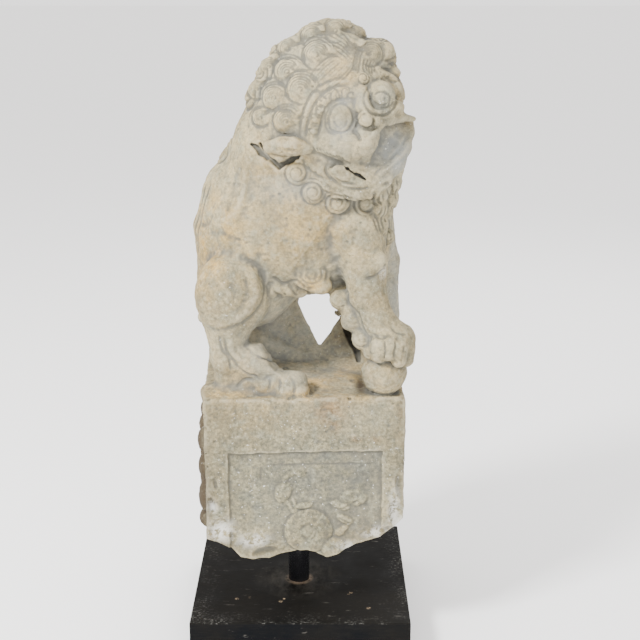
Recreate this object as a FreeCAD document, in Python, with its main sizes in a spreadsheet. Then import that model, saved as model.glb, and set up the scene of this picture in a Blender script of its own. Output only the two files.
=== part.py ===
import FreeCAD, Part
import os
import Sketcher
from FreeCAD import Placement, Rotation, Vector

# A carved stone guardian lion on a square plinth, standing on a round steel post over a painted
# timber base. Millimetres, +Z up, origin at the centre of the feet's undersides, +X the way the
# lion's body points, -Y the side that its head turns to.

SIZES = [
    # base: a square timber block on four rubber feet
    ("base_side", 254.0), ("base_high", 46.0), ("base_edge", 1.2), ("base_clear", 0.1),
    ("foot_top_dia", 30.0), ("foot_low_dia", 26.0), ("foot_high", 4.0), ("foot_inset", 30.0),
    ("foot_cup_dia", 11.0), ("foot_cup_deep", 2.6),
    # steel plate let in under the base
    ("plate_side", 120.0), ("plate_thick", 5.0), ("plate_corner", 8.0), ("plate_gap", 0.5),
    # post and what sits on it
    ("post_x", -3.0), ("post_y", -16.0), ("post_dia", 25.4), ("post_wall", 3.0),
    ("post_top", 240.0), ("cap_thick", 3.0), ("cap_edge", 0.8), ("pad_dia", 24.0), ("pad_thick", 3.0),
    # liner bonded in the stone's drilled hole
    ("sleeve_play", 0.06), ("sleeve_wall", 2.2), ("sleeve_low", 132.0), ("bond_gap", 0.3),
    # wood screws through the plate
    ("screw_inset", 15.0), ("screw_head_dia", 9.6), ("screw_head_high", 2.3), ("screw_shank_dia", 5.0),
    ("screw_long", 32.0), ("screw_slot", 1.2), ("screw_slot_deep", 1.4),
    # wood screws through the feet
    ("pin_head_dia", 8.0), ("pin_head_high", 2.0), ("pin_shank_dia", 4.0), ("pin_long", 16.0),
    # plinth of the carving
    ("stone_turn", 3.0), ("plinth_wide", 224.0), ("plinth_deep", 180.0), ("plinth_top", 316.0),
    ("plinth_x", 1.5), ("plinth_y", -14.0), ("break_level", 118.0), ("panel_wide", 171.0),
    ("panel_top", 249.0), ("panel_deep", 6.0), ("flower_dia", 52.0), ("flower_z", 164.0),
    ("flower_proud", 9.0), ("rock_wide", 206.0), ("rock_deep", 164.0), ("rock_high", 10.0),
    # the way through under the belly
    ("gap_left", -4.0), ("gap_right", 47.0), ("gap_low", 342.0), ("gap_high", 403.0),
]

# The ragged underside of the plinth, seen from the front: across, then up.
FRONT_BREAK = [(-111, 168), (-96, 140), (-74, 126), (-40, 121), (-12, 129), (22, 119), (60, 134),
               (92, 158), (111, 176)]
# The same from the side: front to back, then up.
SIDE_BREAK = [(-92, 119), (-50, 127), (0, 122), (48, 131), (92, 146)]

# Rounded masses of the lion: name, start centre, start radius, end centre, end radius.
LIMBS = [
    ("rump", (-72, -12, 470), 49, (-68, -10, 408), 52),
    ("near_haunch", (-76, -52, 436), 42, (-80, -50, 402), 40),
    ("far_haunch", (-76, 30, 436), 42, (-80, 28, 402), 40),
    ("loin", (-66, -14, 505), 48, (-8, -18, 500), 60),
    ("back", (-8, -18, 500), 62, (18, -22, 560), 74),
    ("withers", (-30, -14, 560), 44, (-6, -26, 640), 54),
    ("neck", (20, -24, 560), 76, (26, -32, 628), 78),
    ("head", (30, -38, 636), 78, (46, -50, 622), 74),
    ("muzzle", (62, -62, 604), 42, (86, -70, 600), 38),
    ("jaw", (44, -66, 566), 36, (82, -66, 572), 30),
    ("chest", (58, -16, 560), 54, (64, -8, 466), 44),
    ("near_shoulder", (44, -52, 496), 40, (62, -62, 440), 32),
    ("near_foreleg", (62, -62, 440), 31, (84, -76, 392), 23),
    ("near_paw", (84, -77, 378), 25, (101, -78, 360), 26),
    ("far_shoulder", (62, 22, 500), 40, (88, 34, 440), 30),
    ("far_foreleg", (88, 34, 440), 29, (103, 38, 330), 23),
    ("far_paw", (98, 36, 332), 22, (103, 34, 330), 23),
    ("near_heel", (-84, -58, 384), 32, (-86, -60, 350), 26),
    ("near_foot", (-84, -66, 342), 27, (-12, -72, 336), 23),
    ("far_heel", (-84, 36, 384), 32, (-86, 38, 350), 26),
    ("far_foot", (-84, 42, 342), 27, (-12, 46, 336), 23),
    ("tail", (-76, -6, 500), 39, (-64, -8, 566), 30),
    ("ear", (-6, -78, 600), 22, (-26, -80, 580), 13),
    ("brow", (6, -88, 612), 20, (52, -92, 648), 19),
]

# Balls: name, centre, radius. The first is the one under the paw; the others are curls of the mane,
# the knob on the chest, the eyes and the nose.
BALLS = [
    ("play_ball", (95, -77, 338), 28),
    ("curl_1", (-2, -76, 562), 17),
    ("curl_2", (16, -84, 542), 17),
    ("curl_3", (44, -88, 532), 18),
    ("curl_4", (70, -80, 528), 18),
    ("curl_5", (96, -44, 520), 15),
    ("chest_knob", (98, -24, 486), 14),
    ("near_eye", (42, -112, 622), 12),
    ("far_eye", (82, -100, 640), 13),
    ("nose", (76, -110, 616), 14),
]

# The signs of the four corners, across and up.
CORNERS = [("-", "-"), ("+", "-"), ("-", "+"), ("+", "+")]

NODES = [
    "stone_lion", "bore_sleeve", "bearing_pad", "post_cap", "support_post", "post_plate",
    "plate_screws", "base_block", "foot_front_left", "foot_front_right", "foot_back_left",
    "foot_back_right", "foot_screws",
]


def fill_sheet(doc):
    """Put every driving dimension in the spreadsheet, one alias each."""
    sheet = doc.addObject("Spreadsheet::Sheet", "sizes")
    rows = list(SIZES)
    for name, start, start_radius, end, end_radius in LIMBS:
        rows += [(name + "_start_radius", start_radius), (name + "_end_radius", end_radius)]
        rows += [(name + "_start_" + axis, start[place]) for place, axis in enumerate("xyz")]
        rows += [(name + "_end_" + axis, end[place]) for place, axis in enumerate("xyz")]
    for name, centre, radius in BALLS:
        rows += [(name + "_radius", radius)]
        rows += [(name + "_at_" + axis, centre[place]) for place, axis in enumerate("xyz")]
    for row, (alias, value) in enumerate(rows, start=1):
        sheet.set("A%d" % row, alias)
        sheet.set("B%d" % row, repr(float(value)))
        sheet.setAlias("B%d" % row, alias)
    doc.recompute()
    return sheet


def bind(thing, **links):
    """Bind properties to sheet expressions, with every alias written as sizes.alias."""
    for name, formula in links.items():
        thing.setExpression(name.replace("__", "."), formula)


def origin_feature(body, role):
    for feature in body.Origin.OriginFeatures:
        if feature.Role == role:
            return feature
    raise ValueError("no origin feature " + role)


def new_sketch(body, name, role="XY_Plane", lift=None):
    """A sketch on one of the body's own origin planes, lifted along its normal by a formula."""
    sketch = body.newObject("Sketcher::SketchObject", name)
    sketch.AttachmentSupport = [(origin_feature(body, role), "")]
    sketch.MapMode = "FlatFace"
    if lift:
        sketch.setExpression("AttachmentOffset.Base.z", lift)
    return sketch


def draw_circle(sketch, diameter, across="0", up="0"):
    """A circle whose diameter and centre follow formulas."""
    at = sketch.addGeometry(Part.Circle(Vector(20.0, 20.0, 0.0), Vector(0, 0, 1), 5.0), False)
    size = sketch.addConstraint(Sketcher.Constraint("Diameter", at, 10.0))
    sketch.setExpression("Constraints[%d]" % size, diameter)
    for kind, formula in (("DistanceX", across), ("DistanceY", up)):
        spot = sketch.addConstraint(Sketcher.Constraint(kind, -1, 1, at, 3, 20.0))
        sketch.setExpression("Constraints[%d]" % spot, formula)


def draw_outline(sketch, corners):
    """A closed outline through corners, each an (across, up) pair of formulas."""
    points = [Vector(10.0 * place, 7.0 * place * place, 0.0) for place in range(len(corners))]
    edges = []
    for place, point in enumerate(points):
        following = points[(place + 1) % len(points)]
        edges.append(sketch.addGeometry(Part.LineSegment(point, following), False))
    for place, edge in enumerate(edges):
        following = edges[(place + 1) % len(edges)]
        sketch.addConstraint(Sketcher.Constraint("Coincident", edge, 2, following, 1))
    for edge, (across, up) in zip(edges, corners):
        for kind, formula in (("DistanceX", across), ("DistanceY", up)):
            spot = sketch.addConstraint(Sketcher.Constraint(kind, -1, 1, edge, 1, 1.0))
            sketch.setExpression("Constraints[%d]" % spot, formula)


def draw_rectangle(sketch, wide, high, across="0", up="0"):
    """A rectangle centred on (across, up)."""
    corners = [("(%s) %s (%s) / 2" % (across, side, wide), "(%s) %s (%s) / 2" % (up, level, high))
               for side, level in (("-", "-"), ("+", "-"), ("+", "+"), ("-", "+"))]
    draw_outline(sketch, corners)


def add_pad(body, name, sketch, length, midplane=False):
    pad = body.newObject("PartDesign::Pad", name)
    pad.Profile = sketch
    pad.setExpression("Length", length)
    pad.Midplane = midplane
    return pad


def add_pocket(body, name, sketch, length, reversed_way=False):
    """A pocket that has to take material away, whichever way its sketch faces."""
    pocket = body.newObject("PartDesign::Pocket", name)
    pocket.Profile = sketch
    pocket.Reversed = reversed_way
    pocket.setExpression("Length", length)
    return pocket


def add_revolution(body, name, sketch):
    """A full turn of a sketch about its own upright axis."""
    turned = body.newObject("PartDesign::Revolution", name)
    turned.Profile = sketch
    turned.ReferenceAxis = (sketch, ["V_Axis"])
    turned.Angle = 360.0
    return turned


def make_base_block(doc):
    """The square timber block: post hole, plate recess and pilot holes for both sets of screws."""
    body = doc.addObject("PartDesign::Body", "base_block")
    outline = new_sketch(body, "block_outline", lift="sizes.foot_high")
    draw_rectangle(outline, "sizes.base_side", "sizes.base_side")
    block = add_pad(body, "block", outline, "sizes.base_high")
    doc.recompute()
    eased = body.newObject("PartDesign::Chamfer", "eased_edges")
    eased.Base = (block, ["Edge%d" % place for place in range(1, 13)])
    eased.setExpression("Size", "sizes.base_edge")

    recess = new_sketch(body, "plate_recess_outline", lift="sizes.foot_high")
    draw_rectangle(recess, "sizes.plate_side + 2 * sizes.plate_gap",
                   "sizes.plate_side + 2 * sizes.plate_gap", "sizes.post_x", "sizes.post_y")
    add_pocket(body, "plate_recess", recess, "sizes.plate_thick", True)

    hole = new_sketch(body, "post_hole_outline", lift="sizes.foot_high")
    draw_circle(hole, "sizes.post_dia + 2 * sizes.base_clear", "sizes.post_x", "sizes.post_y")
    add_pocket(body, "post_hole", hole, "sizes.base_high", True)

    pilots = new_sketch(body, "pilot_outline", lift="sizes.foot_high")
    for side, level in CORNERS:
        draw_circle(pilots, "sizes.screw_shank_dia", plate_screw_place("x", side),
                    plate_screw_place("y", level))
    add_pocket(body, "pilot_holes", pilots, "sizes.screw_long", True)

    taps = new_sketch(body, "foot_pilot_outline", lift="sizes.foot_high")
    for side, level in CORNERS:
        draw_circle(taps, "sizes.pin_shank_dia", foot_place(side), foot_place(level))
    add_pocket(body, "foot_pilot_holes", taps,
               "sizes.pin_long - sizes.foot_high + sizes.foot_cup_deep", True)
    return body


def foot_place(side):
    """How far a foot's centre is from the base's middle, towards the given side."""
    return "%s(sizes.base_side / 2 - sizes.foot_inset)" % side


def plate_screw_place(axis, side):
    return "sizes.post_%s %s (sizes.plate_side / 2 - sizes.screw_inset)" % (axis, side)


def make_foot(doc, name, across, up):
    """A tapered rubber foot with a cup for its screw's head."""
    body = doc.addObject("PartDesign::Body", name)
    profile = new_sketch(body, name + "_profile", "XZ_Plane")
    high = "sizes.foot_high"
    cup = "sizes.foot_cup_deep"
    draw_outline(profile, [
        ("sizes.pin_shank_dia / 2", high), ("sizes.pin_shank_dia / 2", cup),
        ("sizes.foot_cup_dia / 2", cup), ("sizes.foot_cup_dia / 2", "0"),
        ("sizes.foot_low_dia / 2", "0"), ("sizes.foot_top_dia / 2", high)])
    add_revolution(body, name + "_turned", profile)
    bind(body, Placement__Base__x=foot_place(across), Placement__Base__y=foot_place(up))
    return body


def make_post_plate(doc):
    """The steel plate under the base, with four countersunk holes."""
    body = doc.addObject("PartDesign::Body", "post_plate")
    outline = new_sketch(body, "plate_outline", lift="sizes.foot_high")
    draw_rectangle(outline, "sizes.plate_side", "sizes.plate_side")
    plate = add_pad(body, "plate", outline, "sizes.plate_thick")
    doc.recompute()
    corners = body.newObject("PartDesign::Fillet", "plate_corners")
    corners.Base = (plate, upright_edges(plate.Shape))
    corners.setExpression("Radius", "sizes.plate_corner")
    doc.recompute()
    spots = new_sketch(body, "countersink_outline", lift="sizes.foot_high")
    reach = "(sizes.plate_side / 2 - sizes.screw_inset)"
    for side, level in CORNERS:
        draw_circle(spots, "sizes.screw_shank_dia + 0.6", side + reach, level + reach)
    doc.recompute()
    holes = body.newObject("PartDesign::Hole", "countersunk_holes")
    holes.Profile = spots
    holes.Reversed = True
    holes.DepthType = 1
    holes.Threaded = False
    holes.HoleCutType = 2
    holes.HoleCutCustomValues = True
    holes.setExpression("Diameter", "sizes.screw_shank_dia + 0.6")
    holes.setExpression("HoleCutDiameter", "sizes.screw_head_dia + 0.4")
    holes.HoleCutCountersinkAngle = 90.0
    bind(body, Placement__Base__x="sizes.post_x", Placement__Base__y="sizes.post_y")
    return body


def upright_edges(shape):
    """The names of a shape's straight edges that run along Z."""
    names = []
    for place, edge in enumerate(shape.Edges, start=1):
        ends = [vertex.Point for vertex in edge.Vertexes]
        if len(ends) == 2 and (ends[0] - ends[1]).cross(Vector(0, 0, 1)).Length < 1e-6:
            names.append("Edge%d" % place)
    return names


def make_tube(doc, name, outer, inner, low, high):
    """An upright round tube about the post's axis."""
    body = doc.addObject("PartDesign::Body", name)
    ring = new_sketch(body, name + "_ring", lift=low)
    draw_circle(ring, outer)
    draw_circle(ring, inner)
    add_pad(body, name + "_length", ring, "(%s) - (%s)" % (high, low))
    bind(body, Placement__Base__x="sizes.post_x", Placement__Base__y="sizes.post_y")
    return body


def make_post_cap(doc):
    """The disc that closes the post, with its upper edge eased."""
    body = doc.addObject("PartDesign::Body", "post_cap")
    profile = new_sketch(body, "cap_profile", "XZ_Plane")
    rim = "sizes.post_dia / 2"
    top = "sizes.post_top + sizes.cap_thick"
    draw_outline(profile, [
        ("0", "sizes.post_top"), (rim, "sizes.post_top"), (rim, top + " - sizes.cap_edge"),
        (rim + " - sizes.cap_edge", top), ("0", top)])
    add_revolution(body, "cap_turned", profile)
    bind(body, Placement__Base__x="sizes.post_x", Placement__Base__y="sizes.post_y")
    return body


def make_bearing_pad(doc):
    """The soft disc on the post that carries the stone."""
    pad = doc.addObject("Part::Cylinder", "bearing_pad")
    bind(pad, Radius="sizes.pad_dia / 2", Height="sizes.pad_thick",
         Placement__Base__x="sizes.post_x", Placement__Base__y="sizes.post_y",
         Placement__Base__z="sizes.post_top + sizes.cap_thick")
    return pad


def make_screw(doc, name, head_profile, tip, slot_level, head_dia):
    """One wood screw about its own Z axis, pointing up, with a cross slot in its head."""
    body = doc.addObject("PartDesign::Body", name)
    profile = new_sketch(body, name + "_profile", "XZ_Plane")
    draw_outline(profile, head_profile + tip)
    add_revolution(body, name + "_turned", profile)
    slot = new_sketch(body, name + "_slot", lift=slot_level)
    draw_rectangle(slot, "%s * 0.62" % head_dia, "sizes.screw_slot")
    add_pocket(body, name + "_slot_cut", slot, "sizes.screw_slot_deep", True)
    cross = new_sketch(body, name + "_cross", lift=slot_level)
    draw_rectangle(cross, "sizes.screw_slot", "%s * 0.62" % head_dia)
    add_pocket(body, name + "_cross_cut", cross, "sizes.screw_slot_deep", True)
    return body


def screw_group(doc, name, screw, places):
    """Copies of one screw at (x, y) formulas, kept as separate solids in one compound."""
    copies = []
    for number, (across, up) in enumerate(places, start=1):
        copy = doc.addObject("App::Link", "%s_%d" % (name, number))
        copy.LinkedObject = screw
        copy.LinkTransform = True
        bind(copy, Placement__Base__x=across, Placement__Base__y=up)
        copies.append(copy)
    group = doc.addObject("Part::Compound", name)
    group.Links = copies
    return group


def make_plate_screws(doc):
    """Four countersunk screws that hold the plate up into the base."""
    low = "sizes.foot_high"
    neck = "sizes.foot_high + sizes.screw_head_high"
    end = "sizes.foot_high + sizes.screw_long"
    head = [("0", low), ("sizes.screw_head_dia / 2", low), ("sizes.screw_shank_dia / 2", neck)]
    tip = [("sizes.screw_shank_dia / 2", end + " - sizes.screw_shank_dia"), ("0", end + " - 0.2")]
    screw = make_screw(doc, "plate_screw", head, tip, low, "sizes.screw_head_dia")
    places = [(plate_screw_place("x", side), plate_screw_place("y", level))
              for side, level in CORNERS]
    return screw_group(doc, "plate_screws", screw, places)


def make_foot_screws(doc):
    """Four round-headed screws that hold the feet."""
    low = "sizes.foot_cup_deep - sizes.pin_head_high"
    seat = "sizes.foot_cup_deep"
    end = "sizes.foot_cup_deep + sizes.pin_long"
    head = [("0", low), ("sizes.pin_head_dia * 0.36", low),
            ("sizes.pin_head_dia / 2", low + " + sizes.pin_head_high * 0.6"),
            ("sizes.pin_head_dia / 2", seat), ("sizes.pin_shank_dia / 2", seat)]
    tip = [("sizes.pin_shank_dia / 2", end + " - sizes.pin_shank_dia"), ("0", end + " - 0.2")]
    screw = make_screw(doc, "foot_screw", head, tip, low, "sizes.pin_head_dia")
    places = [(foot_place(side), foot_place(level)) for side, level in CORNERS]
    return screw_group(doc, "foot_screws", screw, places)


def make_plinth(doc):
    """The stone's square plinth: broken underside, sunk panel with a flower, low rock on top."""
    body = doc.addObject("PartDesign::Body", "plinth")
    front = new_sketch(body, "plinth_front", "XZ_Plane")
    top = [("sizes.plinth_wide / 2", "sizes.plinth_top"), ("-sizes.plinth_wide / 2", "sizes.plinth_top")]
    draw_outline(front, [(str(across), str(up)) for across, up in FRONT_BREAK] + top)
    add_pad(body, "plinth_block", front, "sizes.plinth_deep", True)
    side = new_sketch(body, "plinth_side", "YZ_Plane")
    low = "sizes.break_level - 40"
    draw_outline(side, [(str(across * 1.1), str(up)) for across, up in SIDE_BREAK]
                 + [("120", low), ("-120", low)])
    cut = add_pocket(body, "broken_underside", side, "2 * sizes.plinth_wide")
    cut.Midplane = True
    panel = new_sketch(body, "panel_outline", "XZ_Plane", "sizes.plinth_deep / 2")
    draw_rectangle(panel, "sizes.panel_wide", "200", "0", "sizes.panel_top - 100")
    add_pocket(body, "sunk_panel", panel, "sizes.panel_deep")
    flower = new_sketch(body, "flower_outline", "XZ_Plane", "sizes.plinth_deep / 2 - sizes.panel_deep - 1")
    draw_circle(flower, "sizes.flower_dia", "2", "sizes.flower_z")
    add_pad(body, "flower", flower, "sizes.flower_proud")
    rock = new_sketch(body, "rock_outline", lift="sizes.plinth_top")
    draw_rectangle(rock, "sizes.rock_wide", "sizes.rock_deep")
    add_pad(body, "rock", rock, "sizes.rock_high")
    bind(body, Placement__Base__x="sizes.plinth_x", Placement__Base__y="sizes.plinth_y")
    body.Placement.Rotation = Rotation(Vector(0, 0, 1), read(doc, "stone_turn"))
    return body


def read(doc, alias):
    return float(doc.getObject("sizes").get(alias))


def read_point(doc, name):
    return Vector(*[read(doc, name + "_" + axis) for axis in "xyz"])


def round_ended_cone(start_radius, end_radius, length):
    """Two balls on the Z axis and the cone that is tangent to both, as one turned solid."""
    lean = (start_radius - end_radius) / length
    rim = (1.0 - lean * lean) ** 0.5
    half = 0.5 ** 0.5
    low_pole = Vector(0, 0, -start_radius)
    high_pole = Vector(0, 0, length + end_radius)
    low_rim = Vector(start_radius * rim, 0, start_radius * lean)
    high_rim = Vector(end_radius * rim, 0, length + end_radius * lean)
    low_mid = Vector(start_radius * half, 0, -start_radius * half)
    high_mid = Vector(end_radius * half, 0, length + end_radius * half)
    edges = [Part.Arc(low_pole, low_mid, low_rim).toShape(),
             Part.makeLine(low_rim, high_rim),
             Part.Arc(high_rim, high_mid, high_pole).toShape(),
             Part.makeLine(high_pole, low_pole)]
    face = Part.Face(Part.Wire(edges))
    return face.revolve(Vector(0, 0, 0), Vector(0, 0, 1), 360)


def make_limb(doc, name):
    """One round-ended tapering mass of the lion, from its cells in the sheet."""
    start = read_point(doc, name + "_start")
    end = read_point(doc, name + "_end")
    limb = doc.addObject("Part::Feature", name)
    limb.Shape = round_ended_cone(read(doc, name + "_start_radius"),
                                  read(doc, name + "_end_radius"), (end - start).Length)
    limb.Placement = Placement(start, Rotation(Vector(0, 0, 1), end - start))
    return limb


def make_ball(doc, name):
    ball = doc.addObject("Part::Sphere", name)
    bind(ball, Radius="sizes.%s_radius" % name, Placement__Base__x="sizes.%s_at_x" % name,
         Placement__Base__y="sizes.%s_at_y" % name, Placement__Base__z="sizes.%s_at_z" % name)
    return ball


def make_belly_gap(doc):
    """The way through under the belly, a pointed opening between the hind foot and the foreleg."""
    body = doc.addObject("PartDesign::Body", "belly_gap")
    outline = new_sketch(body, "gap_outline", "XZ_Plane")
    draw_outline(outline, [
        ("sizes.gap_left", "sizes.gap_low + 40"), ("sizes.gap_left + 20", "sizes.gap_low"),
        ("sizes.gap_right - 12", "sizes.gap_low"), ("sizes.gap_right", "sizes.gap_high - 18"),
        ("sizes.gap_right - 14", "sizes.gap_high"), ("sizes.gap_left", "sizes.gap_high - 6")])
    add_pad(body, "gap_length", outline, "2 * sizes.plinth_deep", True)
    return body


def make_drilled_hole(doc):
    """The blind hole drilled up into the stone for the liner."""
    hole = doc.addObject("Part::Cylinder", "drilled_hole")
    radius = "sizes.post_dia / 2 + sizes.sleeve_play + sizes.sleeve_wall + sizes.bond_gap"
    bind(hole, Radius=radius, Height="sizes.post_top + sizes.cap_thick + sizes.pad_thick - 50",
         Placement__Base__x="sizes.post_x", Placement__Base__y="sizes.post_y",
         Placement__Base__z="50")
    return hole


def make_stone(doc):
    """The carving: one block, so every mass is fused, then opened under the belly and drilled."""
    masses = [make_plinth(doc)]
    masses += [make_limb(doc, row[0]) for row in LIMBS]
    masses += [make_ball(doc, row[0]) for row in BALLS]
    doc.recompute()
    carving = doc.addObject("Part::MultiFuse", "carving")
    carving.Shapes = masses
    opened = doc.addObject("Part::Cut", "opened_carving")
    opened.Base = carving
    opened.Tool = make_belly_gap(doc)
    stone = doc.addObject("Part::Cut", "stone_lion")
    stone.Base = opened
    stone.Tool = make_drilled_hole(doc)
    return stone


def check_document(doc):
    """Stop unless every object worked and every sub-part is a sound solid of its own."""
    for thing in doc.Objects:
        if "Invalid" in thing.State or "Error" in thing.State:
            raise RuntimeError("%s is %s" % (thing.Name, thing.State))
    for name in NODES:
        shape = doc.getObject(name).Shape
        if shape.isNull() or not shape.isValid() or not shape.Solids:
            raise RuntimeError(name + " has no sound shape")


def main():
    doc = FreeCAD.newDocument("foo_dog_statue")
    fill_sheet(doc)
    make_stone(doc)
    make_tube(doc, "bore_sleeve", "sizes.post_dia + 2 * (sizes.sleeve_play + sizes.sleeve_wall)",
              "sizes.post_dia + 2 * sizes.sleeve_play", "sizes.sleeve_low",
              "sizes.post_top + sizes.cap_thick + sizes.pad_thick")
    make_bearing_pad(doc)
    make_post_cap(doc)
    make_tube(doc, "support_post", "sizes.post_dia", "sizes.post_dia - 2 * sizes.post_wall",
              "sizes.foot_high + sizes.plate_thick", "sizes.post_top")
    make_post_plate(doc)
    make_plate_screws(doc)
    make_base_block(doc)
    make_foot(doc, "foot_front_left", "-", "-")
    make_foot(doc, "foot_front_right", "+", "-")
    make_foot(doc, "foot_back_left", "-", "+")
    make_foot(doc, "foot_back_right", "+", "+")
    make_foot_screws(doc)
    doc.recompute()
    for name in NODES:
        doc.getObject(name).Label = name
    check_document(doc)
    os.makedirs("parts", exist_ok=True)
    for name in NODES:
        shape = doc.getObject(name).Shape
        shape.exportStep(os.path.join("parts", name + ".step"))
        box = shape.BoundBox
        print("%-18s solids %d  volume %10.0f  box %s" % (
            name, len(shape.Solids), shape.Volume,
            " ".join("%.1f" % value for value in
                     (box.XMin, box.XMax, box.YMin, box.YMax, box.ZMin, box.ZMax))))


main()
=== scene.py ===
import math

import bpy
import numpy as np
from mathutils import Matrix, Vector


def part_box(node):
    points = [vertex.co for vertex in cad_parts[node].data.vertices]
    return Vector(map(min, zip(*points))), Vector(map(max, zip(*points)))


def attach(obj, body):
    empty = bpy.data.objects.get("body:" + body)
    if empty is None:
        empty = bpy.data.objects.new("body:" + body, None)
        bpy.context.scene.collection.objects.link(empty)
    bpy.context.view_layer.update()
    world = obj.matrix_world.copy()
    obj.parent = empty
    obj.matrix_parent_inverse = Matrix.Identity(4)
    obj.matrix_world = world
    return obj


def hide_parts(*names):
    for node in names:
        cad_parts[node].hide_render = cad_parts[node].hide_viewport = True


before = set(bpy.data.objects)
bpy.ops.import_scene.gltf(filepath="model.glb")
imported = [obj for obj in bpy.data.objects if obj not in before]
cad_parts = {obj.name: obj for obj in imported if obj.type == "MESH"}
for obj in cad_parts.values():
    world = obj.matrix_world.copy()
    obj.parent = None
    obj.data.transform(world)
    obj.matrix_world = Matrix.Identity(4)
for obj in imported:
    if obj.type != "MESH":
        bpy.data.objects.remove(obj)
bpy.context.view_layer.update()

import openvdb
from mathutils import Vector

# The carving is modelled like clay: a grid of distances to the stone's surface, in millimetres in the
# frame that the parts share, which rounded masses, cuts, curls, ridges and creases are worked into. It
# becomes one closed mesh at the end. The stand keeps its CAD shapes and only gets materials.

MM = 0.001

# the camera, which also decides where lines land on the stone; mm
EYE = np.array((22.8, -1351.0, 764.7))
EYE_PITCH = math.radians(16.08)             # how far it looks down
FOCAL_LENGTH, SENSOR_WIDTH = 67.5, 36.0
SIGHT_PLANE = -16.0                         # y of the upright plane that seen() measures on: the post's

# the block of clay, mm
GRID = 1.0           # spacing of the distance grid
FAR = 14.0                                  # distance kept outside the stone
CLAY_LOW, CLAY_HIGH = (-132, -132, 104), (138, 104, 728)
IN_FRONT = -140.0                           # y of a plane before all of the stone
UNCLAIMED = 9.0                             # further out, in radii, than any curl reaches

# places on the stone, mm
HEAD = np.array((33.0, -34.0, 630.0))       # middle of the head
PLINTH = np.array((1.5, -14.0, 214.0))      # middle of the plinth
PLINTH_HALF = (112.0, 90.0, 101.0)
PLINTH_TURN = 3.0                           # degrees that it is turned against the base
PANEL_FLOOR = -2.2                          # how proud of the plinth's front the panel's floor stands
POST = (-3.0, -16.0)                        # the post's axis
BORE_RADIUS, BORE_TOP = 15.4, 246.0         # the hole that takes the post and its sleeve
BORE_ROOM = 16.0                            # half the width of the clay that drilling works on

# stains on the stone, and spots of painted shadow: each one's middle and its reach along x, y and z, in mm,
# and its strength
STAINS = {
    "ochre": (
        (-50, -84, 320, 50, 40, 30, 0.5), (-96, -60, 500, 40, 60, 34, 0.9),
        (-70, -70, 470, 50, 40, 16, 0.8), (10, -75, 500, 50, 40, 40, 0.5),
        (13, -70, 436, 20, 30, 14, 0.7), (-20, -70, 560, 40, 50, 60, 0.35),
        (40, -100, 666, 30, 30, 22, 0.5), (-104, -70, 480, 50, 60, 36, 1.0),
        (-100, -40, 450, 24, 60, 30, 0.6), (10, -80, 318, 130, 80, 8, 0.75),
        (88, -80, 345, 34, 34, 24, 0.45), (-90, 0, 340, 30, 60, 22, 0.6),
        (40, 30, 560, 90, 50, 120, 0.4)),
    "fresh": (
        (-90, -108, 157, 13, 9, 12, 0.9), (-54, -108, 144, 17, 9, 8, 0.75),
        (107, -98, 176, 6, 12, 26, 0.8), (88, -100, 150, 14, 10, 7, 0.7), (56, -102, 134, 14, 10, 6, 0.7),
        (112, -98, 160, 10, 10, 16, 0.7), (92, -80, 452, 5, 8, 7, 0.5), (-98, -106, 186, 6, 6, 6, 0.6)),
    "grey": (
        (90, -104, 637, 13, 12, 13, 0.9), (5, -110, 220, 160, 40, 92, 0.75),
        (0, -20, 360, 70, 60, 34, 0.3), (60, -100, 545, 40, 24, 16, 0.5),
        (100, -80, 585, 22, 30, 24, 0.8), (-70, -96, 420, 30, 20, 44, 0.35),
        (60, -90, 400, 30, 24, 40, 0.3), (104, 20, 410, 30, 30, 90, 0.4),
        (0, 80, 200, 160, 60, 100, 0.6)),
    # rust stains; the last entry, a thin strip down the plinth front's right edge, is painted shadow
    "rust_and_shadow": (
        (34, -104, 300, 18, 14, 18, 1.0), (38, -104, 284, 9, 10, 14, 0.8), (64, -104, 266, 7, 9, 4, 0.9),
        (84, -102, 265, 5, 8, 4, 0.6), (113, -96, 300, 4, 20, 24, 0.4)),
    # painted shadow: dark brown on the plinth's sides and lower front, behind the foreleg, at the ball's left
    # and along the haunch's left edge
    "painted_shadow": (
        (-130, -50, 205, 22, 90, 95, 3.0), (-96, -104, 235, 26, 20, 60, 0.15),
        (58, 10, 360, 11, 60, 24, 1.2), (-126, -30, 420, 8, 60, 60, 0.5),
        (-84, -100, 140, 30, 20, 8, 0.4), (118, -60, 250, 8, 50, 70, 0.5),
        (69, -64, 322, 7, 26, 22, 1.1)),
    "cool": (
        (-4, -30, 362, 62, 60, 36, 1.0), (104, -88, 582, 22, 26, 24, 0.9),
        (90, -104, 637, 12, 12, 12, 0.15), (46, -104, 611, 13, 10, 15, 0.5),
        (-20, -96, 545, 36, 20, 14, 0.5), (112, 0, 420, 14, 40, 80, 0.6),
        (44, -100, 640, 26, 14, 12, 0.4)),
    "pale": (
        (10, -80, 680, 70, 60, 42, 1.0), (50, -104, 585, 34, 20, 22, 0.8),
        (100, -90, 545, 30, 30, 34, 0.3)),
}

# colours of the stone, linear
STONE_WARM = (0.208, 0.170, 0.094)
STONE_PALE = (0.272, 0.238, 0.147)
STONE_GREY = (0.146, 0.145, 0.106)
STONE_OCHRE = (0.355, 0.226, 0.064)
# rust, and painted shadow at the plinth's right edge
STONE_RUST_AND_SHADOW = (0.165, 0.110, 0.055)
STONE_LICHEN = (0.200, 0.205, 0.158)
# dirt, and painted shade in creases
STONE_DIRT_AND_SHADE = (0.078, 0.074, 0.060)
# painted shadow
STONE_PAINTED_SHADOW = (0.040, 0.027, 0.015)
STONE_COOL = (0.272, 0.284, 0.270)
STONE_LIGHT = (0.330, 0.295, 0.200)
# soot, and painted shade in broad hollows
STONE_SOOT_AND_SHADE = (0.135, 0.138, 0.124)
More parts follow.
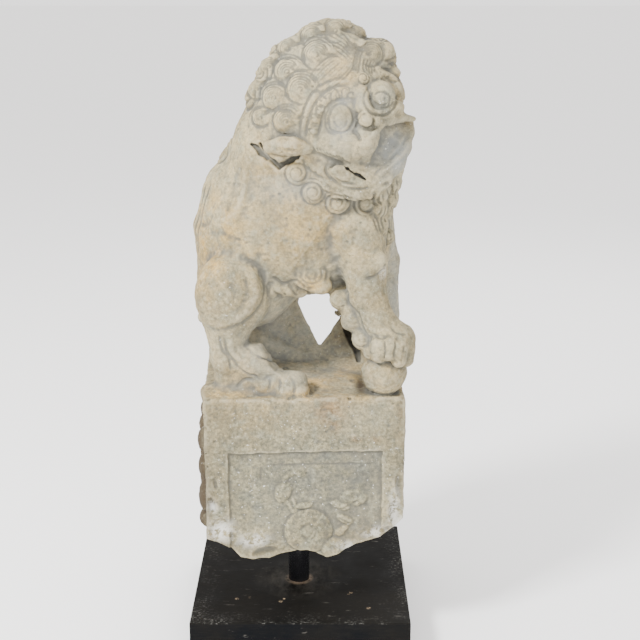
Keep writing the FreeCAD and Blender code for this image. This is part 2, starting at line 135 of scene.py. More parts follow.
# wear, and painted highlight on raised edges
STONE_WORN_AND_HIGHLIGHT = (0.385, 0.340, 0.235)
STONE_FRESH = (0.600, 0.590, 0.540)

# chips in the base's paint: place across and away, and size, in metres
PAINT_CHIPS = ((-0.076, -0.070, 0.0019), (-0.061, -0.067, 0.0015), (-0.024, -0.076, 0.0022),
               (0.060, -0.055, 0.0019), (0.057, -0.059, 0.0012), (-0.020, -0.070, 0.0014),
               (0.080, -0.092, 0.0022))

# the studio, in metres and watts: each lamp's name, place, power and size
FLOOR_SIZE = 60.0
SKY_COLOUR, SKY_STRENGTH = (1.0, 0.985, 0.975, 1.0), 1.9
LAMPS = (("key", (-1.3, -1.2, 1.9), 112.0, 0.45), ("fill", (0.5, -2.2, 0.8), 22.0, 1.0),
         ("back", (0.7, 1.6, 1.6), 16.0, 1.0))
LAMP_TARGET = (0.0, 0.0, 0.42)


def unit(vector):
    """A vector made one long."""
    vector = np.asarray(vector, float)
    return vector / max(np.linalg.norm(vector), 1e-9)


def smooth_step(low, high, value):
    """0 below low, 1 above high, and a soft step between."""
    share = np.clip((value - low) / (high - low), 0.0, 1.0)
    return share * share * (3.0 - 2.0 * share)


def flow(points, per_span=8):
    """A smooth line through points, as a Catmull-Rom curve."""
    points = np.asarray(points, float)
    if len(points) < 3:
        return points
    ends = np.vstack((2 * points[0] - points[1], points, 2 * points[-1] - points[-2]))
    line = []
    for place in range(1, len(ends) - 2):
        a, b, c, d = ends[place - 1:place + 3]
        for share in np.arange(per_span) / per_span:
            line.append(0.5 * (2 * b + (c - a) * share + (2 * a - 5 * b + 4 * c - d) * share ** 2
                               + (3 * b - a - 3 * c + d) * share ** 3))
    line.append(points[-1])
    return np.array(line)


def turned(azimuth=0.0, roll=0.0, pitch=0.0):
    """Rows are the right, away and up directions of something turned by these degrees."""
    a, r, p = (math.radians(angle) for angle in (azimuth, roll, pitch))
    right, away, up = np.eye(3)
    spin = np.array(((math.cos(a), -math.sin(a), 0), (math.sin(a), math.cos(a), 0), (0, 0, 1)))
    right, away, up = (spin @ axis for axis in (right, away, up))
    right, up = (math.cos(r) * right + math.sin(r) * up, math.cos(r) * up - math.sin(r) * right)
    away, up = (math.cos(p) * away + math.sin(p) * up, math.cos(p) * up - math.sin(p) * away)
    return np.array((right, away, up))


def at(across, up, deep):
    """The point at a depth (y) on the sight line through (across, up) on the sight plane."""
    share = (deep - EYE[1]) / (SIGHT_PLANE - EYE[1])
    return EYE + (np.array((across, SIGHT_PLANE, up)) - EYE) * share


def arc(across, up, reach, degrees, tall=1.0):
    """Places round a middle at a reach, for angles in degrees."""
    return [(across + reach * math.cos(a), up + tall * reach * math.sin(a)) for a in np.radians(degrees)]


def to_segment(x, y, z, start, end):
    """How far along a segment each place's nearest point lies, and the squared distance to it."""
    span = end - start
    dx, dy, dz = x - start[0], y - start[1], z - start[2]
    share = np.clip((dx * span[0] + dy * span[1] + dz * span[2]) / max(span @ span, 1e-9), 0.0, 1.0)
    gap = (dx - span[0] * share) ** 2 + (dy - span[1] * share) ** 2 + (dz - span[2] * share) ** 2
    return share, gap


def along(x, y, z, centre, axis):
    """How far each place lies from a centre along an axis."""
    return (x - centre[0]) * axis[0] + (y - centre[1]) * axis[1] + (z - centre[2]) * axis[2]


def sample(values, low, step, points):
    """A block's values at points, read between grid points."""
    place = np.clip((points - low) / step, 0, np.array(values.shape) - 1.001)
    base = place.astype(int)
    part = place - base
    total = np.zeros(len(points))
    for corner in np.ndindex(2, 2, 2):
        share = np.where(corner, part, 1.0 - part).prod(1)
        total += share * values[tuple((base + corner).T)]
    return total


class Clay:
    """A block of distance values: below zero inside the stone, above zero outside it."""

    def __init__(self, low, high, step):
        """An empty block between two corners; relief and nearest hold curls until settle()."""
        self.step = step
        self.low = np.array(low, float)
        counts = np.ceil((np.array(high) - self.low) / step).astype(int) + 1
        self.axes = [(self.low[i] + step * np.arange(counts[i])).astype(np.float32) for i in range(3)]
        self.field = np.full(counts, FAR, np.float32)
        self.relief = np.zeros(counts, np.float32)
        self.nearest = np.full(counts, UNCLAIMED, np.float32)

    def window(self, low, high):
        """Slices and coordinates of the part of the block between two corners."""
        cuts = []
        for i in range(3):
            first = int(np.clip((low[i] - self.low[i]) // self.step, 0, self.field.shape[i] - 1))
            last = int(np.clip((high[i] - self.low[i]) // self.step + 2, first + 1, self.field.shape[i]))
            cuts.append(slice(first, last))
        x, y, z = (axis[cut] for axis, cut in zip(self.axes, cuts))
        return tuple(cuts), x[:, None, None], y[None, :, None], z[None, None, :]

    def merge(self, shape, low, high, blend, cut=False):
        """Join a shape to the stone, or cut it away, with a soft edge of the given width."""
        room = max(blend, 4.0) + 3 * self.step
        cuts, x, y, z = self.window(np.asarray(low) - room, np.asarray(high) + room)
        old = self.field[cuts]
        new = shape(x, y, z).astype(np.float32)
        if cut:
            old, new = -old, new
        share = np.clip(0.5 + 0.5 * (old - new) / blend, 0.0, 1.0)
        joined = old + (new - old) * share - blend * share * (1.0 - share)
        self.field[cuts] = -joined if cut else joined

    def ball(self, centre, radii, blend=4.0, cut=False, turn=None):
        """An ellipsoid."""
        centre = np.asarray(centre, float)
        radii = np.asarray(radii, float) * np.ones(3)
        axes = np.eye(3) if turn is None else turn

        def shape(x, y, z):
            near = far = 0.0
            for axis, radius in zip(axes, radii):
                place = along(x, y, z, centre, axis)
                near = near + (place / radius) ** 2
                far = far + (place / radius ** 2) ** 2
            near = np.sqrt(near)
            return near * (near - 1.0) / np.maximum(np.sqrt(far), 1e-6)

        reach = np.sqrt(((axes * radii[:, None]) ** 2).sum(0))
        self.merge(shape, centre - reach, centre + reach, blend, cut)

    def limb(self, points, radii, blend=4.0, cut=False):
        """A rounded rod through points, with a radius at each."""
        points = [np.asarray(point, float) for point in points]
        for start, end, first, last in zip(points, points[1:], radii, radii[1:]):

            def shape(x, y, z):
                share, gap = to_segment(x, y, z, start, end)
                return np.sqrt(gap) - (first + (last - first) * share)

            big = max(first, last)
            self.merge(shape, np.minimum(start, end) - big, np.maximum(start, end) + big, blend, cut)

    def block(self, centre, half, blend=3.0, cut=False, turn=None, rounding=2.0):
        """A rounded box."""
        centre = np.asarray(centre, float)
        axes = np.eye(3) if turn is None else turn
        half = np.asarray(half, float)

        def shape(x, y, z):
            outside = 0.0
            inside = None
            for axis, reach in zip(axes, half - rounding):
                over = np.abs(along(x, y, z, centre, axis)) - reach
                outside = outside + np.maximum(over, 0.0) ** 2
                inside = over if inside is None else np.maximum(inside, over)
            return np.sqrt(outside) + np.minimum(inside, 0.0) - rounding

        reach = np.sqrt(((axes * half[:, None]) ** 2).sum(0)) + 1.0
        self.merge(shape, centre - reach, centre + reach, blend, cut)

    def value(self, point):
        """The distance at a point, read between grid points."""
        return float(sample(self.field, self.low, self.step, np.asarray(point, float)[None])[0])

    def touch(self, start, direction, reach=400.0):
        """The first point of the stone that a straight line meets, or the nearest where it misses."""
        direction = unit(direction)
        before = self.value(start)
        nearest = (before, 0.0)
        for far in np.arange(1.0, reach, 1.0):
            here = self.value(start + direction * far)
            if here < 0.0 <= before:
                return start + direction * (far - 1.0 + before / (before - here))
            nearest = min(nearest, (here, far))
            before = here
        point = start + direction * nearest[1]
        return point - nearest[0] * self.facing(point)

    def seen(self, across, up):
        """The point of the stone that shows at (across, up) on the sight plane, from the camera."""
        way = np.array((across, SIGHT_PLANE, up)) - EYE
        start = EYE + way * ((IN_FRONT - EYE[1]) / way[1])
        return self.touch(start, way)

    def facing(self, point, spread=4.0):
        """The outward direction of the surface near a point, smoothed over a few millimetres."""
        steps = np.eye(3) * spread
        return unit([self.value(point + step) - self.value(point - step) for step in steps])

    def stroke(self, line, width, depth, taper=True):
        """A soft groove along a line, or a ridge if depth is below zero."""
        line = np.asarray(line, float)
        reach = 2.6 * width
        cuts = self.window(line.min(0) - reach, line.max(0) + reach)[0]
        level = np.zeros(self.field[cuts].shape, np.float32)
        offset = np.array([cut.start for cut in cuts])
        lengths = np.linalg.norm(np.diff(line, axis=0), axis=1)
        marks = np.concatenate(((0.0,), np.cumsum(lengths))) / max(lengths.sum(), 1e-9)
        for place in range(len(line) - 1):
            start, end = line[place], line[place + 1]
            part, x, y, z = self.window(np.minimum(start, end) - reach, np.maximum(start, end) + reach)
            inner = tuple(slice(cut.start - shift, cut.stop - shift) for cut, shift in zip(part, offset))
            share, gap = to_segment(x, y, z, start, end)
            strength = 1.0
            if taper:
                spot = marks[place] + (marks[place + 1] - marks[place]) * share
                strength = np.clip(np.minimum(spot, 1.0 - spot) * 6.0, 0.0, 1.0)
            level[inner] = np.maximum(level[inner], strength * np.exp(-gap / width ** 2))
        self.field[cuts] += depth * level

    def shifted(self, deeper, *places):
        """The points of the stone that show at (across, up) places, each moved away from the camera."""
        return [self.seen(*place) + (0, deeper, 0) for place in places]

    def line_over(self, places, width, depth, taper=True):
        """A groove, or a ridge if depth is below zero, over the surface that the camera sees."""
        self.stroke(flow([self.seen(*place) for place in places]), width, depth, taper)

    def draw(self, *rows):
        """Tapered lines over the surface that the camera sees: width, depth, then (across, up) places."""
        for width, depth, *places in rows:
            self.line_over(places, width, depth)

    def cleft(self, points, pushes, radii, blend, way=(0.0, 1.0, 0.0)):
        """A deep narrow cut along points, repeated at distances further in."""
        for push in pushes:
            self.limb([point + push * np.asarray(way) for point in points], radii, blend, cut=True)

    def from_far(self, across, up):
        """The point of the stone that shows at (across, up) from straight behind."""
        return self.touch(np.array((across, 150.0, up)), (0.0, -1.0, 0.0))

    def from_right(self, deep, up):
        """The point of the stone that shows at a depth (y) and height from its right side."""
        return self.touch(np.array((200.0, deep, up)), (-1.0, 0.0, 0.0))

    def prism(self, outline, low, high, blend=3.0, cut=False, axis=1):
        """A straight-sided solid over an outline, between two depths along an axis."""
        outline = np.asarray(outline, float)
        first, second = [i for i in range(3) if i != axis]

        def shape(x, y, z):
            place = (x, y, z)
            a, b = place[first], place[second]
            nearest = None
            inside = False
            for start, end in zip(outline, np.roll(outline, -1, axis=0)):
                span = end - start
                da, db = a - start[0], b - start[1]
                share = np.clip((da * span[0] + db * span[1]) / (span @ span), 0.0, 1.0)
                gap = (da - span[0] * share) ** 2 + (db - span[1] * share) ** 2
                nearest = gap if nearest is None else np.minimum(nearest, gap)
                crosses = ((start[1] > b) != (end[1] > b)) & (
                    a < start[0] + (b - start[1]) * span[0] / (span[1] + (span[1] == 0.0)))
                inside = inside ^ crosses
            flat = np.where(inside, -1.0, 1.0) * np.sqrt(nearest)
            middle, half = 0.5 * (low + high), 0.5 * (high - low)
            return np.maximum(flat, np.abs(place[axis] - middle) - half)

        corners = np.zeros((2, 3))
        corners[:, first] = outline[:, 0].min(), outline[:, 0].max()
        corners[:, second] = outline[:, 1].min(), outline[:, 1].max()
        corners[:, axis] = low, high
        self.merge(shape, corners[0], corners[1], blend, cut)

    def curl(self, point, radius, angle=0.0, hand=1, rise=6.0, rings=3.4, depth=1.5, stretch=0.8, spread=1.3):
        """A snail-shell lock of hair: a dome with a spiral groove, drawn out and sinking towards an angle.

        Where curls meet, each place takes the one that it lies deepest in.
        """
        out = self.facing(point, 7.0)
        side = np.cross((0.0, 0.0, 1.0), out)
        if np.linalg.norm(side) < 0.3:
            side = np.array((1.0, 0.0, 0.0)) - out[0] * out
        side = unit(side)
        up = np.cross(out, side)
        lean = math.radians(angle)
        reach = radius * spread * (1.0 + stretch) + 2.0
        cuts, x, y, z = self.window(point - reach, point + reach)
        a, b, c = (along(x, y, z, point, axis) for axis in (side, up, out))
        bearing = np.arctan2(b, a) - lean
        ahead = 0.5 + 0.5 * np.cos(bearing)
        share = np.hypot(a, b) / (radius * (1.0 + stretch * ahead ** 2))
        height = rise * (1.0 - 0.45 * ahead * np.minimum(share, 1.0))
        dome = height * np.sqrt(np.clip(1.0 - np.minimum(share, 1.0) ** 2, 0.0, 1.0))
        turns = rings * share * (1.0 + stretch * share * ahead ** 2) - hand * bearing / (2.0 * math.pi)
        groove = (0.5 + 0.5 * np.cos(2.0 * math.pi * turns)) ** 1.6
        groove = groove * smooth_step(0.3 / rings, 1.0 / rings, share)
        edge = smooth_step(spread, 0.5 * (1.0 + spread), share)
        edge = edge * smooth_step(radius + 6.0, radius, np.abs(c))
        wanted = (dome - depth * groove) * edge
        wins = (share < self.nearest[cuts]) & (share < spread)
        self.relief[cuts] = np.where(wins, wanted, self.relief[cuts])
        self.nearest[cuts] = np.where(wins, share, self.nearest[cuts])

    def settle(self):
        """Work the raised relief of the curls into the stone."""
        self.field -= self.relief
        self.relief[:] = 0.0
        self.nearest[:] = UNCLAIMED

    def roughen(self, cell, height, rng):
        """Make the surface uneven by smooth random heights on cells of a size."""
        counts = [int(size * self.step / cell) + 2 for size in self.field.shape]
        level = rng.normal(0.0, 1.0, counts).astype(np.float32)
        for axis in range(3):
            place = np.arange(self.field.shape[axis]) * self.step / cell
            base = place.astype(int)
            part = (place - base).astype(np.float32)
            part = part * part * (3.0 - 2.0 * part)
            shape = [1, 1, 1]
            shape[axis] = -1
            part = part.reshape(shape)
            level = level.take(base, axis) * (1.0 - part) + level.take(base + 1, axis) * part
        self.field += height * level


SQUARE = turned(PLINTH_TURN)                 # the plinth's right, away and up


def on_front(across, up, proud=0.0):
    """A point on the plinth's front face, across from its middle, standing proud of it."""
    return PLINTH + across * SQUARE[0] - (PLINTH_HALF[1] + proud) * SQUARE[1] + (0, 0, up - PLINTH[2])


def in_panel(*places):
    """Points on the floor of the plinth's front panel."""
    return [on_front(across, up, PANEL_FLOOR) for across, up in places]


# The carving, from rough masses to fine lines. A place of two numbers is (across, up) as the camera sees it
# on the sight plane, and at() adds a y to it; points given without at() or seen() are plain (x, y, z).


def rough_plinth(clay):
    """The block that the lion sits on, and the stone left standing between its far legs."""
    clay.block(PLINTH, PLINTH_HALF, 2, turn=SQUARE, rounding=2.0)
    clay.prism([(-96, 312), (104, 312), (98, 400), (70, 446), (-60, 446), (-88, 410)], 18, 46, 14)
    clay.limb([(-60, 20, 338), (0, 26, 322), (60, 30, 326)], [26, 20, 22], 14)


def rough_out(clay):
    """The big masses of the lion."""
    # rump, and the tail lying up the back
    clay.limb([(2, -22, 620), (-14, -16, 570), (-44, -14, 500), (-58, -12, 430)], [58, 60, 62, 58], 14)
    clay.limb([(-72, -10, 530), (-72, -10, 480), (-70, -8, 430)], [36, 43, 46], 10)
    # neck, trunk and chest
    clay.limb([(26, -26, 600), (22, -18, 545)], [74, 70], 14)
    clay.limb([(10, -16, 500), (58, -8, 470)], [72, 44], 16)
    clay.limb([(50, -24, 565), (58, -8, 470)], [58, 46], 12)
    clay.ball((8, -14, 472), (88, 62, 60), 12)
    # head
    clay.ball(HEAD, (78, 73, 82), 8)


def rough_legs(clay):
    """Haunches, legs and feet."""
    for y in (-62, 42):
        clay.ball((-76, y, 422), (41, 34, 48), 6)
    # near hind leg and foot
    clay.limb([at(-84, 378, -66), at(-85, 346, -70)], [28, 20], 8)
    clay.limb([at(-84, 334, -72), at(-52, 330, -74), at(-20, 322, -78)], [20, 19, 14], 6)
    clay.limb([at(-82, 314, -68), at(-44, 306, -74), at(-8, 299, -82)], [17, 14, 12], 8)
    # far hind leg and foot
    clay.limb([(-80, 48, 392), (-90, 52, 350)], [31, 24], 8)
    clay.limb([(-88, 54, 344), (-50, 58, 334), (-12, 62, 328)], [23, 18, 14], 6)
    for place, x in enumerate((-27, -15, -3)):
        clay.limb([(x - 8, 66, 330), (x, 72 + place, 322)], [8, 7.5], 3)
    # near foreleg
    clay.limb([at(60, 486, -52), at(73, 444, -62), at(77, 410, -70), at(86, 384, -76), at(100, 364, -82)],
              [38, 25, 21, 19, 21], 7)
    # far foreleg
    clay.limb([(66, 14, 500), (90, 26, 440), (100, 30, 330)], [42, 25, 19], 8)
    clay.ball((106, 20, 328), (21, 25, 17), 5)
    for x in (95, 106, 117):
        clay.limb([(x, 4, 330), (x, -3, 322)], [8.5, 7.5], 2.5)


def open_belly(clay):
    """The hollow under the belly and the pointed opening through to the far side."""
    clay.ball((2, -72, 366), (40, 66, 33), 8, cut=True)
    clay.ball((14, -24, 372), (42, 46, 32), 8, cut=True)
    clay.ball((12, -2, 366), (44, 30, 30), 10, cut=True)
    opening = [(-3, 401), (21, 350), (24, 350), (48, 385), (35, 404), (33, 412), (0, 412)]
    near, far, slice_depth = -30.0, 120.0, 6.0
    for deep in np.arange(near, far, slice_depth):
        outline = [at(across, up, deep + 0.5 * slice_depth)[[0, 2]] for across, up in opening]
        clay.prism(outline, deep - 0.5, deep + slice_depth + 0.5, 0.6, cut=True)


def carve_ground(clay):
    """The uneven ground on the plinth's top, between and behind the feet."""
    mounds = (((-30, -30, 312), (46, 40, 12)), ((34, -36, 311), (44, 34, 10)),
              ((10, 10, 312), (60, 34, 15)), ((-60, 4, 314), (40, 34, 20)), ((70, 6, 314), (38, 30, 17)))
    for centre, radii in mounds:
        clay.ball(centre, radii, 8)
    clay.ball((20, 56, 312), (92, 22, 9), 6)
    clay.ball((-78, -72, 312), (34, 26, 10), 8)
    # soft folds that sweep from the far wall down on to the ground
    clay.draw((5.0, 1.3, (-56, 369), (-50, 356), (-40, 345), (-24, 339), (-8, 339), (12, 331)),
              (5.0, 1.3, (-42, 376), (-30, 362), (-14, 352), (2, 346)),
              (5.0, 1.3, (60, 362), (50, 352), (38, 346), (28, 341)))


def wave_lock(clay, across, up, size, lean=0.0, hand=1):
    """A lock like a breaking wave: a domed spiral whose strands sweep over it and away to one side."""
    turn = math.radians(lean)

    def spot(distance, degrees, drift=0.0):
        angle = math.radians(degrees)
        a = distance * math.cos(angle) + drift
        b = distance * math.sin(angle)
        return (across + hand * (a * math.cos(turn) - b * math.sin(turn)),
                up + a * math.sin(turn) + b * math.cos(turn))

    clay.limb([clay.seen(across, up) + (0, 0.64 * size, 0), clay.seen(*spot(0.9 * size, 15))
               + (0, 0.62 * size, 0)], [0.96 * size, 0.72 * size], 2.5)
    lines = [[spot(share * size, degrees) for degrees in range(225, 24, -40)]
             + [spot(share * size, 12, 0.45 * size), spot(share * size, 4, (0.75 + 0.35 * share) * size)]
             for share in (0.44, 0.62, 0.80, 0.98)]
    lines += [[spot(share * size, degrees, 0.1 * size) for degrees in range(160, 29, -26)]
              for share in (1.2, 1.4)]
    core = [spot((0.27 - 0.0005 * step) * size, 240 - step) for step in range(0, 420, 45)]
    for line in lines + [core]:
        clay.line_over(line, 1.0, 1.75)
    clay.line_over([spot(1.12 * size, degrees) for degrees in (130, 160, 190, 220, 250, 280, 305)], 1.5, 1.8)


def hair_on_crown(clay):
    """Wave-like locks over the crown, in front where they show and on round the back."""
    clay.ball(at(86, 681, -38), (19, 32, 17), 7)
    clay.ball(at(35, 696, -36), (27, 30, 23), 8)
    clay.ball(at(100, 640, -58), (14, 18, 20), 6)
    rng = np.random.default_rng(11)
    rows = ((0.12, range(6, 200, 22)), (0.42, range(12, 205, 26)), (0.7, range(50, 200, 34)),
            (0.93, range(20, 200, 60)), (-0.16, range(14, 150, 25)))
    for height, bearings in rows:
        for bearing in bearings:
            turn = math.radians(bearing)
            level = math.sqrt(1.0 - height * height)
            way = np.array((math.cos(turn) * level, math.sin(turn) * level, height))
            point = clay.touch(HEAD + 130.0 * way, -way)
            clay.curl(point, rng.uniform(12.0, 15.5), rng.uniform(60, 130), rng.choice((-1, 1)), rings=2.1,
                      depth=1.9)
    clay.settle()
    # locks that run down from the forehead beside the brow, and up from between the eyes
    for shift in range(-5, 5):
        clay.draw((1.1 + 0.3 * (shift % 2), 1.5, (62 + 1.6 * shift, 696), (57 + 2.0 * shift, 684),
                   (49 + 2.5 * shift, 673 - 1.4 * shift), (37 + 2.5 * shift, 662 - 2.2 * shift),
                   (24 + 2.0 * shift, 650 - 2.1 * shift), (17 + 1.0 * shift, 637 - 1.6 * shift)))
    for shift in range(6):
        clay.draw((1.1, 1.4, (28 - 2.4 * shift, 711 - 3.0 * shift), (40 - 1.6 * shift, 707 - 3.6 * shift),
                   (51 - 0.8 * shift, 700 - 3.8 * shift), (58 - 0.6 * shift, 690 - 3.4 * shift)))
    for shift in range(3):
        clay.draw((1.3, 1.6, (66 + 3 * shift, 692 - 2 * shift), (62 + 3 * shift, 681), (60 + 3 * shift, 670),
                   (59 + 2.6 * shift, 660)))
    for shift in range(5):
        bend = 2.0 * math.sin(1.9 * shift)
        clay.draw((1.1, 1.3, (72 + 2.6 * shift, 660 + bend), (70 + 3.4 * shift, 668),
                   (72 + 3.8 * shift, 677 - shift)))
    locks = ((40, 706, 11, 0, 1), (63, 702, 10, 10, -1), (14, 700, 11, 5, 1), (-12, 687, 11, 15, 1),
             (-33, 667, 11, 25, 1), (-47, 643, 10, 35, 1), (96, 684, 9, 10, -1), (104, 660, 8, 20, -1),
             (79, 682, 12.5, 10, -1), (19, 680, 14.0, -8, 1), (-13, 662, 13.5, 0, 1),
             (-28, 634, 12.5, 5, 1), (1, 643, 14.5, -12, 1), (-15, 608, 13.5, 8, 1), (-43, 612, 9.0, 30, 1))
    for across, up, size, lean, hand in locks:
        wave_lock(clay, across, up, size, lean, hand)


def carve_mouth(clay):
    """Jaw, muzzle and cheeks, and the open mouth with the tongue in its near corner."""
    # lower jaw that runs round to the lip's right tip, and stone behind the open mouth
    clay.limb([at(34, 548, -84), at(62, 536, -90), at(88, 547, -88), at(106, 563, -79), at(114, 580, -70),
               at(119, 596, -62), at(121, 606, -58)], [14, 14, 13, 11, 9.5, 8, 6.0], 5)
    clay.ball(at(94, 590, -58), (22, 24, 30), 8)
    clay.limb([at(60, 560, -80), at(92, 572, -70)], [20, 18], 6)
    # muzzle and cheeks
    clay.ball(at(52, 582, -96), (24, 14, 16), 8)
    clay.ball(at(74, 588, -97), (14, 14, 19), 7, turn=turned(0, -14))
    clay.ball(at(24, 583, -92), (22, 12, 12), 8, turn=turned(0, -18))
    clay.ball(at(30, 556, -84), (18, 14, 14), 6)
    # stone from the nose to the lip's right tip
    clay.limb([at(86, 607, -100), at(100, 611, -90), at(113, 613, -79), at(126, 611, -67)],
              [6.5, 5.5, 4.5, 3.5], 3)
    clay.ball(at(97, 624, -84), (17, 12, 9), 5)
    # the open mouth, and the rim round it
    clay.limb([at(84, 561, -106), at(95, 578, -102), at(106, 593, -94), at(116, 603, -86)],
              [6.0, 9.2, 9.0, 6.0], 2.5, cut=True)
    clay.limb([at(96, 573, -92), at(105, 586, -85), at(112, 596, -79)], [5, 6, 4.5], 3, cut=True)
    clay.draw((1.8, -2.2, (128, 609), (125, 594), (121, 580), (110, 566), (94, 552), (80, 538)),
              (1.4, 1.6, (122, 598), (114, 583), (103, 569), (91, 557), (80, 545)))
    clay.limb(clay.shifted(2.5, (94, 606), (84, 595), (77, 585), (72, 583), (75, 566)),
              [2.5, 3.5, 4.0, 4.0, 4.0], 3)
    for shift in range(5):
        clay.draw((1.2, 1.1, (80 + 6 * shift, 566 + 7 * shift), (86 + 6 * shift, 567 + 7 * shift)))
    # tongue at the near corner, with the lips doubled round it
    clay.ball(at(51, 549, -99), (19, 6, 9), 2.0, turn=turned(16, -20))
    clay.draw((1.3, 2.0, (66, 539), (56, 539), (47, 541), (38, 547), (35, 555), (41, 561)),
              (1.3, 2.0, (80, 535), (68, 533), (55, 534), (42, 539), (33, 546), (29, 556), (33, 563)),
              (1.2, -1.0, (74, 536), (60, 536), (46, 538), (36, 544), (32, 553), (35, 561)))
    gap = clay.shifted(0, (46, 560), (54, 555), (62, 550), (68, 547), (74, 543))
    for push, wide in ((0.0, 1.3), (3.0, 1.5), (6.5, 1.8), (10.0, 2.0)):
        clay.cleft(gap, [push], [0.5 * wide, wide, wide, wide, 0.8 * wide], 0.6)
    clay.ball(clay.seen(61, 551) + (0, 0.5, 0), (1.6, 3.0, 2.2), 0.8)
    # chin under the lips
    clay.limb(clay.shifted(5, (26, 536)) + clay.shifted(4, (42, 529), (66, 526), (82, 530), (98, 543)),
              [6, 7, 7, 8, 6], 3)
    clay.draw((2.4, 3.2, (18, 540), (28, 530), (40, 525), (52, 523), (65, 519), (77, 521), (85, 527),
               (96, 538), (106, 546)),
              # crease from the ear under the cheek to the lips, and the whiskers on the cheek
              (1.8, 1.8, (2, 575), (6, 559), (20, 548), (29, 545)),
              (2.4, 2.4, (6, 578), (22, 571), (36, 566), (48, 562)))
    for shift in range(11):
        clay.draw((0.9, 1.1, (11 + 3.6 * shift, 583 - 1.3 * shift), (15 + 3.6 * shift, 576 - 1.1 * shift),
                   (21 + 3.6 * shift, 572 - 1.1 * shift)))


def carve_nose(clay):
    """The nose's bridge, its nostril wings and the hollow beside it."""
    clay.limb([at(69, 640, -98), at(71, 626, -102), at(75, 615, -105)], [6, 7, 7], 5)
    clay.ball(clay.seen(74, 610) + (0, 4.0, 0), (8.5, 7.5, 8), 2)
    clay.curl(clay.seen(74, 610), 7.5, 120, -1, rise=1.4, rings=1.3, depth=1.3, stretch=0.2, spread=1.2)
    clay.ball(clay.seen(86, 608) + (0, 2.5, 0), (5.8, 6.5, 5.2), 1.5)
    clay.settle()
    clay.draw((1.5, 2.8, (69, 604), (73, 600), (79, 599), (85, 602)),
              (1.2, 2.0, (80, 614), (81, 608), (81, 603)),
              (1.5, 1.8, (66, 622), (66, 613), (64, 605), (61, 599)),
              (2.2, 3.0, (60, 598), (65, 593), (68, 587)),
              (1.8, -1.6, (67, 599), (70, 591), (74, 588), (80, 592), (86, 599)))


def carve_eyes(clay):
    """The near eye, a broad flat ball with a thin doubled rim, and the far one, a full ball."""
    eye = [(32, 612), (34, 601), (40, 597), (47, 596), (55, 600), (59, 609), (58, 618), (53, 625), (45, 628),
           (37, 623)]
    clay.ball(clay.seen(46, 611) + (0, 6.5, 0), (14, 7.8, 16.5), 3.0, turn=turned(10, 14))
    clay.line_over(eye + eye[:1], 1.2, 1.2, taper=False)
    outer = [(46 + 1.24 * (x - 46), 611 + 1.2 * (z - 611)) for x, z in eye]
    clay.draw((1.2, 0.8, *outer[7:], *outer[:4]),
              (1.2, 0.5, (42, 618), (38, 611), (41, 603), (47, 601), (52, 606), (52, 614), (48, 619)))
    # the far eye, with lids and doubled rims
    clay.limb([at(74, 626, -98), at(86, 620, -97), at(99, 619, -93)], [6, 6.5, 5], 4)
    clay.ball(at(90, 638, -91), (14, 13, 14), 3)
    clay.ball(clay.seen(89, 634) + (0.5, 6.6, 0), (10.5, 8.2, 11.0), 2.5)
    clay.draw((1.6, -1.6, (80, 641), (86, 645), (94, 645), (99, 640)),
              (1.3, 1.4, (81, 637), (87, 640), (94, 640), (98, 636)),
              (1.3, 1.2, (82, 631), (86, 627), (92, 626), (97, 629)))
    rims = ((10.8, 1.5, -270, 71), (14.5, -1.6, -250, 61), (18.0, 1.5, -235, 41), (21.5, -1.4, -160, 21))
    for grow, depth, first, last in rims:
        clay.line_over(arc(89, 633, grow, range(first, last, 20)), 1.3, depth)


def comma_band(clay, outer, inner, count):
    """A raised band between two lines, filled with short curved strands."""
    outer, inner = (flow(line, 12) for line in (outer, inner))

    def part_way(line, share):
        return line[int(round(share * (len(line) - 1)))]

    middle = [clay.seen(*(0.5 * (part_way(outer, share) + part_way(inner, share)))) + (0, 4.6, 0)
              for share in np.linspace(0.03, 0.97, 9)]
    clay.limb(middle, [6.4] * 9, 3.0)
    for place in range(count):
        share = (place + 0.5 + 0.3 * math.sin(2.3 * place)) / count
        reach = 0.86 + 0.14 * math.sin(1.7 * place)
        start, end = part_way(inner, max(share - 0.07, 0.0)), part_way(outer, min(share + 0.05, 1.0))
        end = start + reach * (end - start)
        bow = 0.5 * (start + end) + 0.3 * np.array((start[1] - end[1], end[0] - start[0]))
        hook = end + 0.36 * (start - end) + 0.34 * np.array((end[1] - start[1], start[0] - end[0]))
        clay.draw((0.9 + 0.2 * (place % 2), 1.15, start, bow, end, hook))


def carve_brows(clay):
    """The near brow, a broad band of small curling strands, and the far one at the right edge."""
    outer = [(8, 588), (8, 598), (11, 612), (17, 627), (26, 638), (38, 645), (50, 647), (61, 642)]
    inner = [(20, 591), (23, 601), (25, 611), (28, 621), (34, 628), (43, 632), (52, 633), (60, 634)]
    comma_band(clay, outer, inner, 19)
    clay.draw((1.2, 1.6, *outer), (1.2, 1.6, *inner), (1.6, -1.4, (4, 588), (4, 600), (7, 614), (13, 629),
                                                       (22, 641), (36, 649), (50, 652), (62, 648)),
              (1.3, 1.6, (0, 589), (0, 601), (3, 615), (9, 631), (19, 645), (34, 653), (50, 657)),
              (3.0, -3.0, (82, 655), (93, 660), (104, 655), (111, 643), (113, 630)))
    for shift in range(5):
        clay.draw((1.0, 1.1, (84 + 5 * shift, 652 + 1.5 * shift), (88 + 5 * shift, 658 - 0.5 * shift),
                   (90 + 5 * shift, 663 - 2 * shift)))
    clay.curl(clay.seen(70, 655), 6.5, 0, 1, rise=2.6, rings=1.8, depth=1.5, stretch=0.0, spread=1.1)
    clay.settle()


